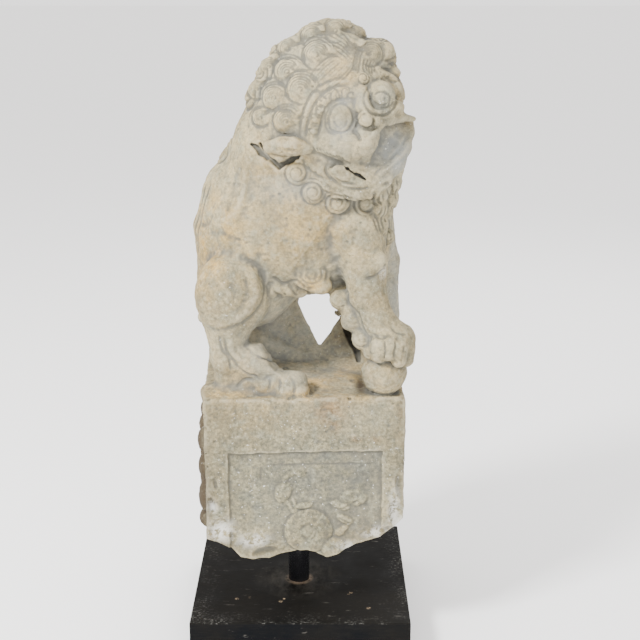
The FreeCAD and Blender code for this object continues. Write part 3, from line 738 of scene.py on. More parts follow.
def flap(clay, body, edge, tip):
    """An ear: a raised flap through body points, undercut along its edge points."""
    clay.limb(body, [7, 9.8, 9.8, 7.6], 1.2)
    clay.limb(tip, [6, 5.5, 5.0], 1.5)
    away = unit(np.array((HEAD[0], HEAD[1], 0.0)) - (body[1][0], body[1][1], 0.0))
    for push, wide in ((-4.0, 2.6), (0.0, 3.2), (4.5, 3.4), (9.0, 2.8)):
        clay.cleft(edge, [push], [0.8 * wide] + [wide] * (len(edge) - 2) + [0.4 * wide], 0.8, away)


def carve_ears(clay):
    """The near ear, a broken flap with deep shadow under it, and the far one like it."""
    body = [at(10, 580, -97), at(-6, 581, -101), at(-20, 581, -98), at(-32, 580, -89)]
    edge = clay.shifted(0, (-44, 583), (-41, 577), (-35, 569), (-24, 558), (-14, 564), (-4, 570), (4, 573))
    tip = [at(-33, 581, -84), at(-28, 573, -88), at(-22, 569, -92)]
    flap(clay, body, edge, tip)
    clay.draw((3.0, 1.8, (-31, 579), (-22, 577), (-12, 576), (-2, 576)))
    pocket = clay.shifted(0, (-54, 583), (-48, 580), (-43, 573), (-36, 567))
    clay.cleft(pocket, (0.0, 4.0), [1.6, 3.0, 3.0, 2.4], 1.5)
    clay.draw((1.6, -1.6, (-36, 583), (-28, 588), (-16, 591), (-4, 588), (8, 582)))
    body = [clay.from_right(-54, 582) + (-3, 0, 0), clay.from_right(-38, 584) + (-1, 0, 0),
            clay.from_right(-22, 582), clay.from_right(-10, 580) + (-1, 0, 0)]
    edge = [clay.from_right(*place) for place in ((8, 586), (3, 579), (-3, 571), (-14, 562), (-26, 568),
                                                  (-38, 574), (-48, 577))]
    tip = [clay.from_right(*place) for place in ((-8, 583), (-12, 575), (-18, 571))]
    flap(clay, body, edge, tip)
    fold = [clay.from_right(*place) for place in ((-9, 583), (-20, 582), (-32, 581), (-44, 580))]
    clay.stroke(flow(fold), 3.0, 1.8)


def carve_mane(clay):
    """Round curls under the jaw and wavy locks down the chest."""
    for place, radius in (((-3, 550), 12.5), ((15, 528), 12), ((43, 516), 12.5), ((74, 516), 12)):
        clay.ball(clay.seen(*place) + (0, 4.8, 0), (radius, 9.5, radius), 2.2)
        clay.curl(clay.seen(*place), radius - 1.0, 90, 1, rise=0.6, rings=2.0, depth=1.1, stretch=0.15)
    clay.settle()
    # wavy locks between the jaw and the chest's right edge
    lumps = ((109, 557, -64, 8), (105, 541, -60, 9), (101, 524, -56, 9), (96, 508, -50, 9),
             (92, 532, -74, 9), (90, 512, -68, 9), (92, 494, -60, 9))
    for across, up, deep, radius in lumps:
        clay.ball(at(across, up, deep), (radius, 11, radius + 3), 5)
    for shift, top in enumerate((526, 531, 538, 547, 557, 566)):
        clay.draw((1.3, 1.9, (86 + 5.4 * shift, top), (83 + 5.2 * shift, 0.6 * top + 0.4 * 505),
                   (89 + 4.0 * shift, 512), (84 + 4.2 * shift, 498), (89 + 3.2 * shift, 482)))
    # a round knob on the chest
    clay.ball(at(99, 479, -44), (9, 10, 10), 1.5)
    clay.curl(clay.seen(99, 481), 8.0, 90, 1, rise=1.2, rings=1.8, depth=0.9, stretch=0.0, spread=1.2)
    clay.settle()
    # the mane's far side and back
    rng = np.random.default_rng(7)
    for height in (572, 548, 524):
        for bearing in range(-4, 170, 24):
            turn = math.radians(bearing + (height - 548) * 0.5)
            way = np.array((math.cos(turn), math.sin(turn), 0.0))
            if height > 560 and bearing < 30:
                continue
            point = clay.touch(np.array((30.0, -22.0, height)) + 130.0 * way, -way)
            clay.curl(point, rng.uniform(11.0, 14.0), rng.uniform(60, 120), rng.choice((-1, 1)), rise=4.5,
                      rings=2.0, depth=1.8)
    clay.settle()
    # locks that hang from the mane over the chest and the far shoulder
    for place in range(27):
        turn = math.radians(-24 + 6.6 * place)
        ahead = np.array((math.cos(turn), math.sin(turn), 0.0))
        drop = (0, 14, 5, 22)[place % 4]
        lock = []
        for share, shift in ((0.0, 0.0), (0.25, 0.03), (0.5, -0.02), (0.75, 0.025), (1.0, 0.0)):
            way = unit(ahead + (shift * ahead[1], -shift * ahead[0], 0))
            height = 514 - share * (34 + drop)
            lock.append(clay.touch(np.array((30.0, -20.0, height)) + 150.0 * way, -way))
        clay.stroke(flow(lock), 1.3 + 0.4 * (place % 2), 1.5 + 0.5 * (place % 2))


def carve_tail(clay):
    """The tail, lying up the rump with its tuft spread in long locks."""
    clay.limb([(-101, -10, 452), (-103, -10, 490), (-96, -12, 528)], [14, 17, 13], 5)
    clay.limb([(-96, -12, 528), (-80, -14, 556), (-58, -16, 586)], [13, 11, 6], 4)
    for side in (-1, 1):
        clay.limb([(-101, -10 + 8 * side, 470), (-98, -10 + 24 * side, 502), (-87, -12 + 26 * side, 530)],
                  [9, 9, 5], 3)
    for shift in (-20, -12, -4, 4, 12, 20):
        spots = []
        for share, up in enumerate((462, 484, 508, 532, 552)):
            place = -10.0 + shift * (0.7 + 0.14 * share)
            spots.append(clay.touch(np.array((-160.0, place, float(up))), (1.0, 0.0, -0.15)))
        clay.stroke(flow(spots), 1.6, 2.2)
    # the fold beside it that shows at the lion's back
    ridge = [(-57, 572), (-62, 548), (-65, 526), (-72, 508), (-84, 493)]
    clay.draw((4.5, -1.8, *ridge), (6.0, 0.9, *((x + 9, z) for x, z in ridge)),
              (5.0, 0.8, (-68, 560), (-73, 540), (-77, 522), (-86, 507)),
              (3.0, 0.9, (-96, 507), (-105, 492), (-116, 494)),
              (4.0, 1.0, (-106, 482), (-92, 484), (-80, 479), (-63, 471)))


def carve_haunches(clay):
    """A raised crescent round each haunch with soft hollows in the swirl inside it."""
    clay.draw((3.0, 1.5, (-72, 457), (-60, 451), (-51, 447), (-44, 439), (-41, 427), (-42, 408), (-48, 394),
               (-62, 380), (-80, 371), (-99, 368), (-112, 378)),
              (6.0, -2.4, (-68, 443), (-57, 438), (-51, 424), (-52, 408), (-58, 396), (-70, 385), (-86, 379)),
              (5.0, 1.6, (-67, 436), (-61, 421), (-63, 404), (-73, 390), (-88, 385)),
              (5.0, 0.8, (-98, 450), (-106, 432), (-108, 412), (-104, 396)),
              (5.0, 1.0, (-90, 436), (-95, 420), (-90, 402)),
              (5.5, 1.6, (-80, 426), (-76, 416), (-78, 404)),
              (2.4, -0.8, (-83, 412), (-80, 406), (-84, 402)))
    # the far haunch, from behind
    swirl = [clay.from_far(-76 + reach * math.cos(a), 422 + 1.25 * reach * math.sin(a))
             for a, reach in zip(np.linspace(0.3, 4.6 * math.pi, 30), np.linspace(27, 4, 30))]
    clay.stroke(flow(swirl, 3), 2.4, 1.7)
    crescent = [clay.from_far(*place) for place in ((-64, 466), (-44, 452), (-34, 428), (-36, 400),
                                                    (-52, 378), (-80, 370))]
    clay.stroke(flow(crescent), 2.8, 2.6)


def carve_trunk(clay):
    """Belly curl and fringe, folds on the flank."""
    clay.ball(clay.seen(13, 432) + (0, 6, 0), (20, 10, 18), 4)
    for reach, depth in ((18, 1.2), (12, 1.0), (6, 0.9)):
        clay.line_over(arc(13, 434, reach, range(150, 401, 25), 0.9), 2.3, depth)
    for across, up, radius in ((-32, 417, 9), (-16, 418, 10), (-3, 414, 8), (24, 420, 10)):
        clay.ball(clay.seen(across, up) + (0, 4, 0), (radius + 3, 8, radius), 4)
    clay.draw((1.7, 1.6, (-44, 423), (-30, 430), (-18, 424), (-6, 427), (4, 421), (12, 411), (24, 410)),
              (1.7, 1.6, (-34, 406), (-18, 411), (-4, 406)), (1.7, 1.6, (-36, 424), (-30, 414), (-20, 408)),
              (1.7, 1.6, (-14, 424), (-8, 414), (-4, 408)), (4.0, 0.9, (30, 448), (42, 452), (50, 462)),
              (4.0, 0.9, (34, 436), (46, 440), (56, 450)), (4.0, 0.9, (26, 462), (34, 470), (36, 482)),
              (4.0, 0.9, (50, 478), (60, 486), (72, 484), (80, 474)))


def carve_hind_foot(clay):
    """Lobes, toes and tufts of the near hind foot."""
    lobes = ((-66, 299, -76, (14, 10, 9)), (-40, 300, -80, (14, 11, 10)), (-15, 294, -89, (13, 12, 9)),
             (0, 295, -88, (10, 13, 9)), (-86, 310, -70, (13, 11, 12)), (-6, 308, -80, (14, 12, 10)))
    for across, up, deep, radii in lobes:
        clay.ball(at(across, up, deep), radii, 6)
    clay.draw((1.5, 2.0, (-88, 359), (-86, 342), (-77, 329), (-72, 321), (-62, 314), (-52, 311), (-50, 300)),
              (1.5, 2.0, (-95, 364), (-92, 345), (-84, 333), (-82, 318)),
              (1.5, 2.0, (-46, 306), (-30, 312), (-24, 304), (-26, 292)),
              (1.5, 2.0, (-66, 350), (-50, 336), (-34, 330), (-18, 327)),
              (1.5, 2.0, (-30, 318), (-18, 322), (-4, 318)),
              (1.5, 2.0, (-8, 288), (-7, 300), (-12, 311)),
              (1.5, 2.0, (-76, 298), (-66, 307), (-56, 308)),
              (1.5, 2.0, (-38, 294), (-36, 304), (-40, 313)),
              (2.6, -2.0, (-82, 356), (-79, 342), (-70, 330)),
              (2.6, -2.0, (-60, 350), (-44, 338), (-26, 334)))
    clay.ball(at(-112, 384, -44), (7, 12, 7), 3)


def carve_foreleg(clay):
    """The ball, the paw on it, and the locks down the foreleg's back."""
    clay.ball((94.5, -79, 337), 25.5, 1.0)
    clay.ball(at(108, 356, -82), (25, 21, 22), 4)
    clay.ball(at(95, 347, -88), (16, 15, 14), 5)
    toes = ((92, 350, 337, -100, 9.5), (104, 350, 339, -103, 9.5), (116, 346, 331, -101, 9.5),
            (125, 344, 332, -90, 9.0))
    for across, high, low, deep, radius in toes:
        clay.limb([at(across, high, deep), at(across - 1, low, deep - 1)], [radius, radius - 1], 4)
    clay.draw((1.2, 1.5, (98, 356), (99, 344), (98, 332)), (1.2, 1.5, (110, 356), (110, 344), (109, 332)),
              (1.2, 1.5, (121, 350), (120, 338), (118, 326)), (1.2, 1.5, (84, 364), (94, 357), (104, 362)),
              (1.2, 1.5, (104, 372), (112, 364), (124, 362)))
    # a dark gap behind the foreleg, and scalloped locks down its back
    gap = clay.shifted(0, (47, 380), (53, 367), (59, 354), (66, 342), (68, 330))
    clay.cleft(gap, (0.0, 5.0, 10.0), [1.6, 3.4, 3.8, 3.8, 2.6], 1.0)
    locks = ((45, 405, -66, 11), (59, 379, -71, 12), (71, 357, -77, 11), (83, 342, -84, 9))
    clay.limb([at(across + 6, up, deep) for across, up, deep, _ in locks], [11, 11, 11, 9], 4)
    for across, up, deep, radius in locks:
        clay.ball(at(across, up, deep), (radius, 14, radius), 4)
        for shift in (0.1, 0.45):
            bow = arc(across + shift * 4, up + shift * 5, (1.0 - shift) * radius, (200, 235, 270, 310))
            clay.draw((0.9, 1.0, *bow))
    clay.draw((1.5, 2.0, (38, 420), (54, 414), (56, 400), (68, 386), (74, 368), (82, 354), (88, 342)))
    # knee
    clay.ball(clay.seen(88, 448) + (0, 5, 0), (12, 9, 12), 5)
    clay.draw((1.8, 1.8, (98, 450), (95, 440), (86, 433), (72, 428)))


def carve_plinth(clay):
    """The sunk panel with its flowers on the front, and the carved left side."""
    clay.block(on_front(0.5, 165.0, 0.2), (86.5, 2.4, 86.0), 0.8, cut=True, turn=SQUARE, rounding=0.6)
    clay.stroke(in_panel((-50, 236), (82, 236)), 1.1, 0.9)
    clay.stroke(in_panel((-50, 236), (-50, 215)), 1.1, 0.7)
    # bud on its stem
    clay.ball(on_front(-25, 203, PANEL_FLOOR), (9.0, 3.8, 13.0), 1.8, turn=turned(PLINTH_TURN, -24.0))
    for shift in (0.0, 5.0):
        clay.stroke([on_front(-23 + shift, 211, 2.2), on_front(-19 + shift, 203, 2.6),
                     on_front(-15 + shift, 196, 1.6)], 1.3, 2.6)
    clay.stroke(flow(in_panel((-23, 193), (-17, 185), (-12, 176))), 1.9, -2.6)
    clay.stroke(flow(in_panel((-15, 196), (-12, 188), (-10, 176))), 1.6, -2.4)
    clay.stroke(flow(in_panel((-26, 217), (-14, 226), (-2, 222))), 2.6, -1.5)
    # large flower
    clay.ball(on_front(3.5, 154, PANEL_FLOOR), (27.5, 4.6, 27.5), 1.2, turn=SQUARE)
    clay.ball(on_front(3.5, 154, 3.8), (14.0, 3.8, 14.0), 1.6, cut=True, turn=SQUARE)
    clay.ball(on_front(3.5, 154, 0.2), (8.0, 3.4, 8.0), 2.0, turn=SQUARE)
    clay.stroke(in_panel(*arc(3.5, 154, 28.5, range(0, 361, 15))), 1.3, 0.6, taper=False)
    # part of a second flower, leaves at the right
    clay.ball(on_front(32, 132, PANEL_FLOOR), (14.0, 4.4, 14.0), 0.8, turn=SQUARE)
    clay.ball(on_front(32, 132, 3.4), (6.5, 3.4, 6.5), 0.8, cut=True, turn=SQUARE)
    leaves = ((53, 196, 14, 9, 10), (36, 187, 9, 5, -25), (44, 184, 6, 5, 0), (62, 192, 9, 6, 35),
              (45, 168, 10, 4.5, -28), (41, 154, 9, 4.5, 40), (-2, 186, 10, 4, 8))
    for across, up, wide, tall, roll in leaves:
        clay.ball(on_front(across, up, PANEL_FLOOR), (wide, 2.9, tall), 1.3, turn=turned(PLINTH_TURN, roll))
    vein = [on_front(*place) for place in ((29, 188), (38, 181), (46, 184), (62, 193))]
    clay.stroke(flow(vein), 1.2, 1.2)
    clay.stroke([on_front(34, 172), on_front(56, 161), on_front(40, 149)], 1.1, 1.1)
    # lobes carved on the left side, a plain sunk panel with rings on the others
    for up, size in ((256, 15), (224, 17), (187, 21), (160, 12)):
        for away in (-74, -24, 26):
            clay.ball((-105.5 - 0.052 * (away + 70), away, up), (11.5, 18, size), 1.5)
    back = PLINTH + PLINTH_HALF[1] * SQUARE[1] + (0, 0, -50)
    clay.block(back, (84, 2.4, 86), 0.8, cut=True, turn=SQUARE, rounding=0.6)
    right = PLINTH + PLINTH_HALF[0] * SQUARE[0] + (0, 0, -50)
    clay.block(right, (2.4, 66, 86), 0.8, cut=True, turn=SQUARE, rounding=0.6)
    panels = ((back, SQUARE[0], 4 * SQUARE[1], (19, 5, 19), (8, 7, 8)),
              (right, SQUARE[1], 4 * SQUARE[0], (5, 19, 19), (7, 8, 8)))
    for middle, way, push, ring, hole in panels:
        for spot in (-34, 4, 40):
            point = middle + spot * way + (0, 0, 4 + 0.2 * spot)
            clay.ball(point, ring, 0.8, turn=SQUARE)
            clay.ball(point + push, hole, 0.8, cut=True, turn=SQUARE)


def chip_edges(clay):
    """Small losses along the plinth's edges."""
    rng = np.random.default_rng(31)
    half_wide, half_deep, half_high = PLINTH_HALF
    for _ in range(70):
        side = rng.choice((-1, 1))
        if rng.random() < 0.55:
            spot = (rng.uniform(-half_wide, half_wide), side * half_deep, half_high)
        elif rng.random() < 0.5:
            spot = (side * half_wide, rng.choice((-1, 1)) * half_deep, rng.uniform(-70, half_high))
        else:
            spot = (side * half_wide, rng.uniform(-half_deep, half_deep), half_high)
        size = rng.uniform(0.9, 2.3)
        if spot[1] > -0.5 * half_deep and spot[2] == half_high:
            continue
        clay.ball(PLINTH + np.array(spot) @ SQUARE, (size * 2.6, size * 1.2, size), 1.8, cut=True,
                  turn=turned(rng.uniform(0, 90), rng.uniform(-40, 40)))


def weather(clay):
    """Worn, slightly uneven surfaces with small pits and lost flakes."""
    rng = np.random.default_rng(23)
    clay.roughen(22.0, 0.5, rng)
    clay.roughen(8.0, 0.3, rng)
    clay.roughen(3.4, 0.2, rng)
    for _ in range(90):
        way = unit(rng.normal(0.0, 1.0, 3) * (1.0, 1.0, 0.6))
        start = np.array((0.0, -10.0, rng.uniform(170, 690))) + 200.0 * way
        point = clay.touch(start, -way)
        size = rng.uniform(0.8, 1.7)
        through_opening = abs(point[0]) < 60 and 322 < point[2] < 412
        if through_opening:
            continue
        clay.ball(point + way * size * 0.3, (size * 1.3, size * 1.1, size), 0.8, cut=True)


def break_depth(x, y):
    """Height of the ragged break under the plinth, mm."""
    front = ((-140, -113, -93, -78, -68, -54, -36, -22, -6, 8, 18, 30, 43, 58, 75, 92, 105, 118, 150),
             (152, 151, 143, 135, 123, 120, 121, 127, 130, 131, 127, 121, 125, 132, 140, 145, 155, 167, 172))
    rear = ((-140, -90, -50, -10, 30, 70, 118, 150), (160, 148, 134, 142, 128, 139, 150, 160))
    share = smooth_step(-90.0, 70.0, y)
    return np.interp(x, *front) * (1.0 - share) + np.interp(x, *rear) * share


def break_off(clay):
    """Break the plinth's underside away along uneven facets."""
    rng = np.random.default_rng(5)
    cuts, x, y, z = clay.window((-135, -130, 104), (140, 104, 190))
    wide = (x + 0 * y)[:, :, 0]
    deep = (y + 0 * x)[:, :, 0]
    height = break_depth(wide, deep)
    for cell, size in ((34.0, 6.0), (13.0, 3.2), (6.0, 1.4)):
        grid = rng.normal(0.0, 1.0, (50, 50))
        a, b = (wide + 140.0) / cell, (deep + 140.0) / cell
        i, j = a.astype(int), b.astype(int)
        s, t = a - i, b - j
        level = (grid[i, j] * (1 - s) * (1 - t) + grid[i + 1, j] * s * (1 - t) + grid[i, j + 1] * (1 - s) * t
                 + grid[i + 1, j + 1] * s * t)
        height = height + size * level * smooth_step(-112.0, -80.0 + cell, deep)
    gap = (height[:, :, None] - z) * 0.8
    clay.field[cuts] = np.maximum(clay.field[cuts], gap.astype(np.float32))
    # fresh chips along the front's lower corners and the right edge
    chips = ((-95, 160, (15, 3.5, 13)), (-60, 147, (20, 4.0, 11)), (-46, 128, (17, 9, 8)),
             (104, 172, (9, 6, 20)), (108, 205, (6, 5, 18)), (96, 150, (14, 5, 9)), (52, 133, (14, 4, 8)),
             (-106, 190, (5, 5, 10)), (-101, 215, (3, 4, 9)))
    for across, up, radii in chips:
        clay.ball(on_front(across, up, 1.0), radii, 1.0, cut=True, turn=turned(PLINTH_TURN, 12.0))


def drill(clay):
    """The blind hole that the post stands in."""

    def shape(x, y, z):
        return np.maximum(np.hypot(x - POST[0], y - POST[1]) - BORE_RADIUS, z - BORE_TOP)

    low = (POST[0] - BORE_ROOM, POST[1] - BORE_ROOM, CLAY_LOW[2])
    high = (POST[0] + BORE_ROOM, POST[1] + BORE_ROOM, BORE_TOP)
    clay.merge(shape, low, high, 0.5, cut=True)


def main_piece(points, quads):
    """Only the largest connected part of a mesh."""
    label = np.arange(len(points))
    while True:
        low = label[quads].min(axis=1)
        fresh = label.copy()
        np.minimum.at(fresh, quads.ravel(), np.repeat(low, 4))
        fresh = fresh[fresh]
        if np.array_equal(fresh, label):
            break
        label = fresh
    kept = label == np.bincount(label).argmax()
    place = np.cumsum(kept) - 1
    return points[kept], place[quads[kept[quads[:, 0]]]]


def hollow_at(clay, points, skip, rounds):
    """How far the surface stands out at each point, in grid steps: below 0 in hollows, above 0 on edges."""
    step = clay.step * skip
    near = np.clip(clay.field[::skip, ::skip, ::skip], -4.0 * step, 4.0 * step)
    soft = near
    for _ in range(rounds):
        for axis in range(3):
            soft = (soft + np.roll(soft, 1, axis) + np.roll(soft, -1, axis)) / 3.0
    return sample(soft - near, clay.low, step, points) / step


def stain_at(points, stains):
    """How strongly placed stains and painted shadows show at each point, 0 to 1."""
    total = np.zeros(len(points))
    for stain in stains:
        centre, reach, strength = np.array(stain[:3]), np.array(stain[3:6]), stain[6]
        gap = (((points - centre) / reach) ** 2).sum(1)
        total = np.maximum(total, strength * np.exp(-gap))
    return np.clip(total, 0.0, 1.0)


def clay_mesh(clay, name):
    """The stone's surface as one closed mesh, in metres, with its hollows, stains and painted shadows as
    attributes.
    """
    grid = openvdb.FloatGrid(FAR)
    grid.copyFromArray(np.clip(clay.field, -FAR, FAR), tolerance=0.0)
    points, quads = main_piece(*grid.convertToQuads(0.0))
    points = points * clay.step + clay.low
    mesh = bpy.data.meshes.new(name)
    mesh.vertices.add(len(points))
    mesh.vertices.foreach_set("co", (points * MM).astype(np.float32).ravel())
    mesh.loops.add(quads.size)
    mesh.loops.foreach_set("vertex_index", quads[:, ::-1].astype(np.int32).ravel())
    mesh.polygons.add(len(quads))
    mesh.polygons.foreach_set("loop_start", np.arange(0, quads.size, 4, dtype=np.int32))
    mesh.polygons.foreach_set("use_smooth", np.ones(len(quads), bool))
    mesh.update(calc_edges=True)
    # the hollows feed dirt and painted shade into the stone's colour, the raised edges wear and painted
    # highlight
    fine = 0.6 * hollow_at(clay, points, 1, 3) / 0.5 + 0.4 * hollow_at(clay, points, 1, 9) / 1.1
    broad = hollow_at(clay, points, 3, 5)
    marks = {"cavity": 0.5 + fine, "shade": 0.5 + 0.5 * broad}
    for label, stains in STAINS.items():
        marks[label] = stain_at(points, stains)
    for label, values in marks.items():
        mark = mesh.attributes.new(label, "FLOAT", "POINT")
        mark.data.foreach_set("value", np.clip(values, 0.0, 1.0).astype(np.float32))
    return mesh


# The materials. Each share is a shader socket that runs from 0 to 1.


def new_material(name, colour, roughness, metallic=0.0):
    """A material, its node tree and its shader, with the plain values on the shader's own sockets."""
    material = bpy.data.materials.new(name)
    material.use_nodes = True
    tree = material.node_tree
    shader = tree.nodes["Principled BSDF"]
    shader.inputs["Base Color"].default_value = (*colour, 1.0)
    shader.inputs["Roughness"].default_value = roughness
    shader.inputs["Metallic"].default_value = metallic
    return material, tree, shader


def add_node(tree, kind, inputs=None, **settings):
    """A node with settings, its inputs linked to outputs or set to values."""
    node = tree.nodes.new(kind)
    for key, value in settings.items():
        setattr(node, key, value)
    for key, value in (inputs or {}).items():
        if isinstance(value, bpy.types.NodeSocket):
            tree.links.new(value, node.inputs[key])
        else:
            node.inputs[key].default_value = value
    return node


def noise(tree, scale, detail=3.0, rough=0.55, stretch=(1.0, 1.0, 1.0)):
    """Noise over the object's own coordinates, 0 to 1."""
    place = add_node(tree, "ShaderNodeTexCoord")
    mapping = add_node(tree, "ShaderNodeMapping", {"Vector": place.outputs["Object"], "Scale": stretch})
    wave = add_node(tree, "ShaderNodeTexNoise", {"Vector": mapping.outputs["Vector"], "Scale": scale,
                                                 "Detail": detail, "Roughness": rough})
    return wave.outputs["Fac"]


def spread(tree, value, low, high):
    """A value spread from low..high to 0..1."""
    node = add_node(tree, "ShaderNodeMapRange", {"Value": value, "From Min": low, "From Max": high})
    return node.outputs["Result"]


def patches(tree, scale, detail, rough, low, high, stretch=(1.0, 1.0, 1.0)):
    """Noise spread from low..high to 0..1, which leaves patches."""
    return spread(tree, noise(tree, scale, detail, rough, stretch), low, high)


def times(tree, first, second):
    """Two shares multiplied."""
    return add_node(tree, "ShaderNodeMath", {0: first, 1: second}, operation="MULTIPLY").outputs[0]


def larger(tree, first, second):
    """The larger of two shares, or the second alone when there is no first yet."""
    if first is None:
        return second
    return add_node(tree, "ShaderNodeMath", {0: first, 1: second}, operation="MAXIMUM").outputs[0]


def blend_colour(tree, share, first, second, how="MIX"):
    """Two colours mixed by a share."""
    node = add_node(tree, "ShaderNodeMix", data_type="RGBA", blend_type=how)
    for socket, value in ((node.inputs[0], share), (node.inputs[6], first), (node.inputs[7], second)):
        if isinstance(value, bpy.types.NodeSocket):
            tree.links.new(value, socket)
        else:
            socket.default_value = value if isinstance(value, float) else (*value, 1.0)
    return node.outputs[2]


def coated(tree, colour, *layers):
    """A colour under layers, each with its share, its strength and its own colour."""
    for share, strength, over in layers:
        if strength < 1.0:
            share = times(tree, share, strength)
        colour = blend_colour(tree, share, colour, over)
    return colour


def speckled(tree, colour, share, dark, light):
    """A colour multiplied by a mix of a dark and a light tint."""
    return blend_colour(tree, 1.0, colour, blend_colour(tree, share, dark, light), "MULTIPLY")


def add_bump(tree, shader, height, strength, distance):
    """Fine roughness that is too small for the mesh."""
    bump = add_node(tree, "ShaderNodeBump", {"Height": height, "Strength": strength, "Distance": distance})
    tree.links.new(bump.outputs["Normal"], shader.inputs["Normal"])


def vary_roughness(tree, shader, share, low, high):
    """Roughness that runs from low to high with a share."""
    ramp = add_node(tree, "ShaderNodeMapRange", {"Value": share, "To Min": low, "To Max": high})
    tree.links.new(ramp.outputs["Result"], shader.inputs["Roughness"])


def stone_material():
    """Weathered warm grey stone with ochre patches, speckle, dirt and painted shade in the hollows, wear and
    painted highlight on raised edges, painted shadows and fresh white chips.
    """
    material, tree, shader = new_material("stone", (0.25, 0.21, 0.14), 0.9)
    shader.inputs["Specular IOR Level"].default_value = 0.25
    mark = {label: add_node(tree, "ShaderNodeAttribute", attribute_name=label).outputs["Fac"]
            for label in ("cavity", "shade", *STAINS)}
    colour = blend_colour(tree, patches(tree, 11.0, 5.0, 0.62, 0.42, 0.60), STONE_WARM, STONE_PALE)
    ochre = times(tree, mark["ochre"], patches(tree, 30.0, 5.0, 0.68, 0.38, 0.60))
    # rust, and painted shadow at the plinth's right edge
    rust_and_shadow = times(tree, mark["rust_and_shadow"], patches(tree, 110.0, 4.0, 0.75, 0.24, 0.48))
    lichen = patches(tree, 75.0, 4.0, 0.65, 0.50, 0.66)
    colour = coated(tree, colour, (mark["pale"], 0.8, STONE_LIGHT), (mark["grey"], 1.0, STONE_GREY),
                    (ochre, 1.0, STONE_OCHRE), (rust_and_shadow, 1.0, STONE_RUST_AND_SHADOW), (lichen, 0.55, STONE_LICHEN))
    # broad mottling, then the grains, which stand out most where the stone is bare and grey
    colour = speckled(tree, colour, patches(tree, 48.0, 5.0, 0.72, 0.32, 0.68), (0.68, 0.71, 0.75),
                      (1.28, 1.23, 1.13))
    grains = speckled(tree, colour, patches(tree, 300.0, 4.0, 0.75, 0.34, 0.66), (0.44, 0.46, 0.49),
                      (1.56, 1.52, 1.42))
    bare = add_node(tree, "ShaderNodeMapRange", {"Value": mark["grey"], "From Max": 0.75, "To Min": 0.55})
    colour = blend_colour(tree, bare.outputs["Result"], colour, grains)
    # dirt and painted shade in the hollows, wear and painted highlight on raised edges, painted shadow at
    # placed spots, and specks and chips over all
    soot_and_shade = spread(tree, mark["shade"], 0.48, 0.18)
    crease_dirt_and_shade = spread(tree, mark["cavity"], 0.46, 0.02)
    cool = times(tree, mark["cool"], patches(tree, 34.0, 4.0, 0.6, 0.20, 0.50))
    specks = times(tree, patches(tree, 230.0, 3.0, 0.6, 0.36, 0.29), 0.5)
    # wear and painted highlight on raised edges
    worn_and_highlight = times(tree, spread(tree, mark["cavity"], 0.55, 0.95), patches(tree, 55.0, 4.0, 0.7, 0.34, 0.60))
    # painted shadow at placed spots
    painted_shadow = times(tree, mark["painted_shadow"], patches(tree, 60.0, 4.0, 0.7, 0.14, 0.42))
    flecks = times(tree, patches(tree, 330.0, 2.0, 0.5, 0.68, 0.74), spread(tree, mark["grey"], -0.12, 0.6))
    fresh = times(tree, mark["fresh"], patches(tree, 120.0, 5.0, 0.75, 0.44, 0.51))
    colour = coated(tree, colour, (soot_and_shade, 0.8, STONE_SOOT_AND_SHADE), (crease_dirt_and_shade, 0.68, STONE_DIRT_AND_SHADE), (cool, 0.88, STONE_COOL),
                    (specks, 1.0, STONE_DIRT_AND_SHADE), (worn_and_highlight, 0.5, STONE_WORN_AND_HIGHLIGHT), (painted_shadow, 0.93, STONE_PAINTED_SHADOW),
                    (flecks, 0.8, STONE_FRESH), (fresh, 1.0, STONE_FRESH))
    tree.links.new(colour, shader.inputs["Base Color"])
    add_bump(tree, shader, noise(tree, 420.0, 5.0, 0.7), 0.6, 0.0012)
    return material


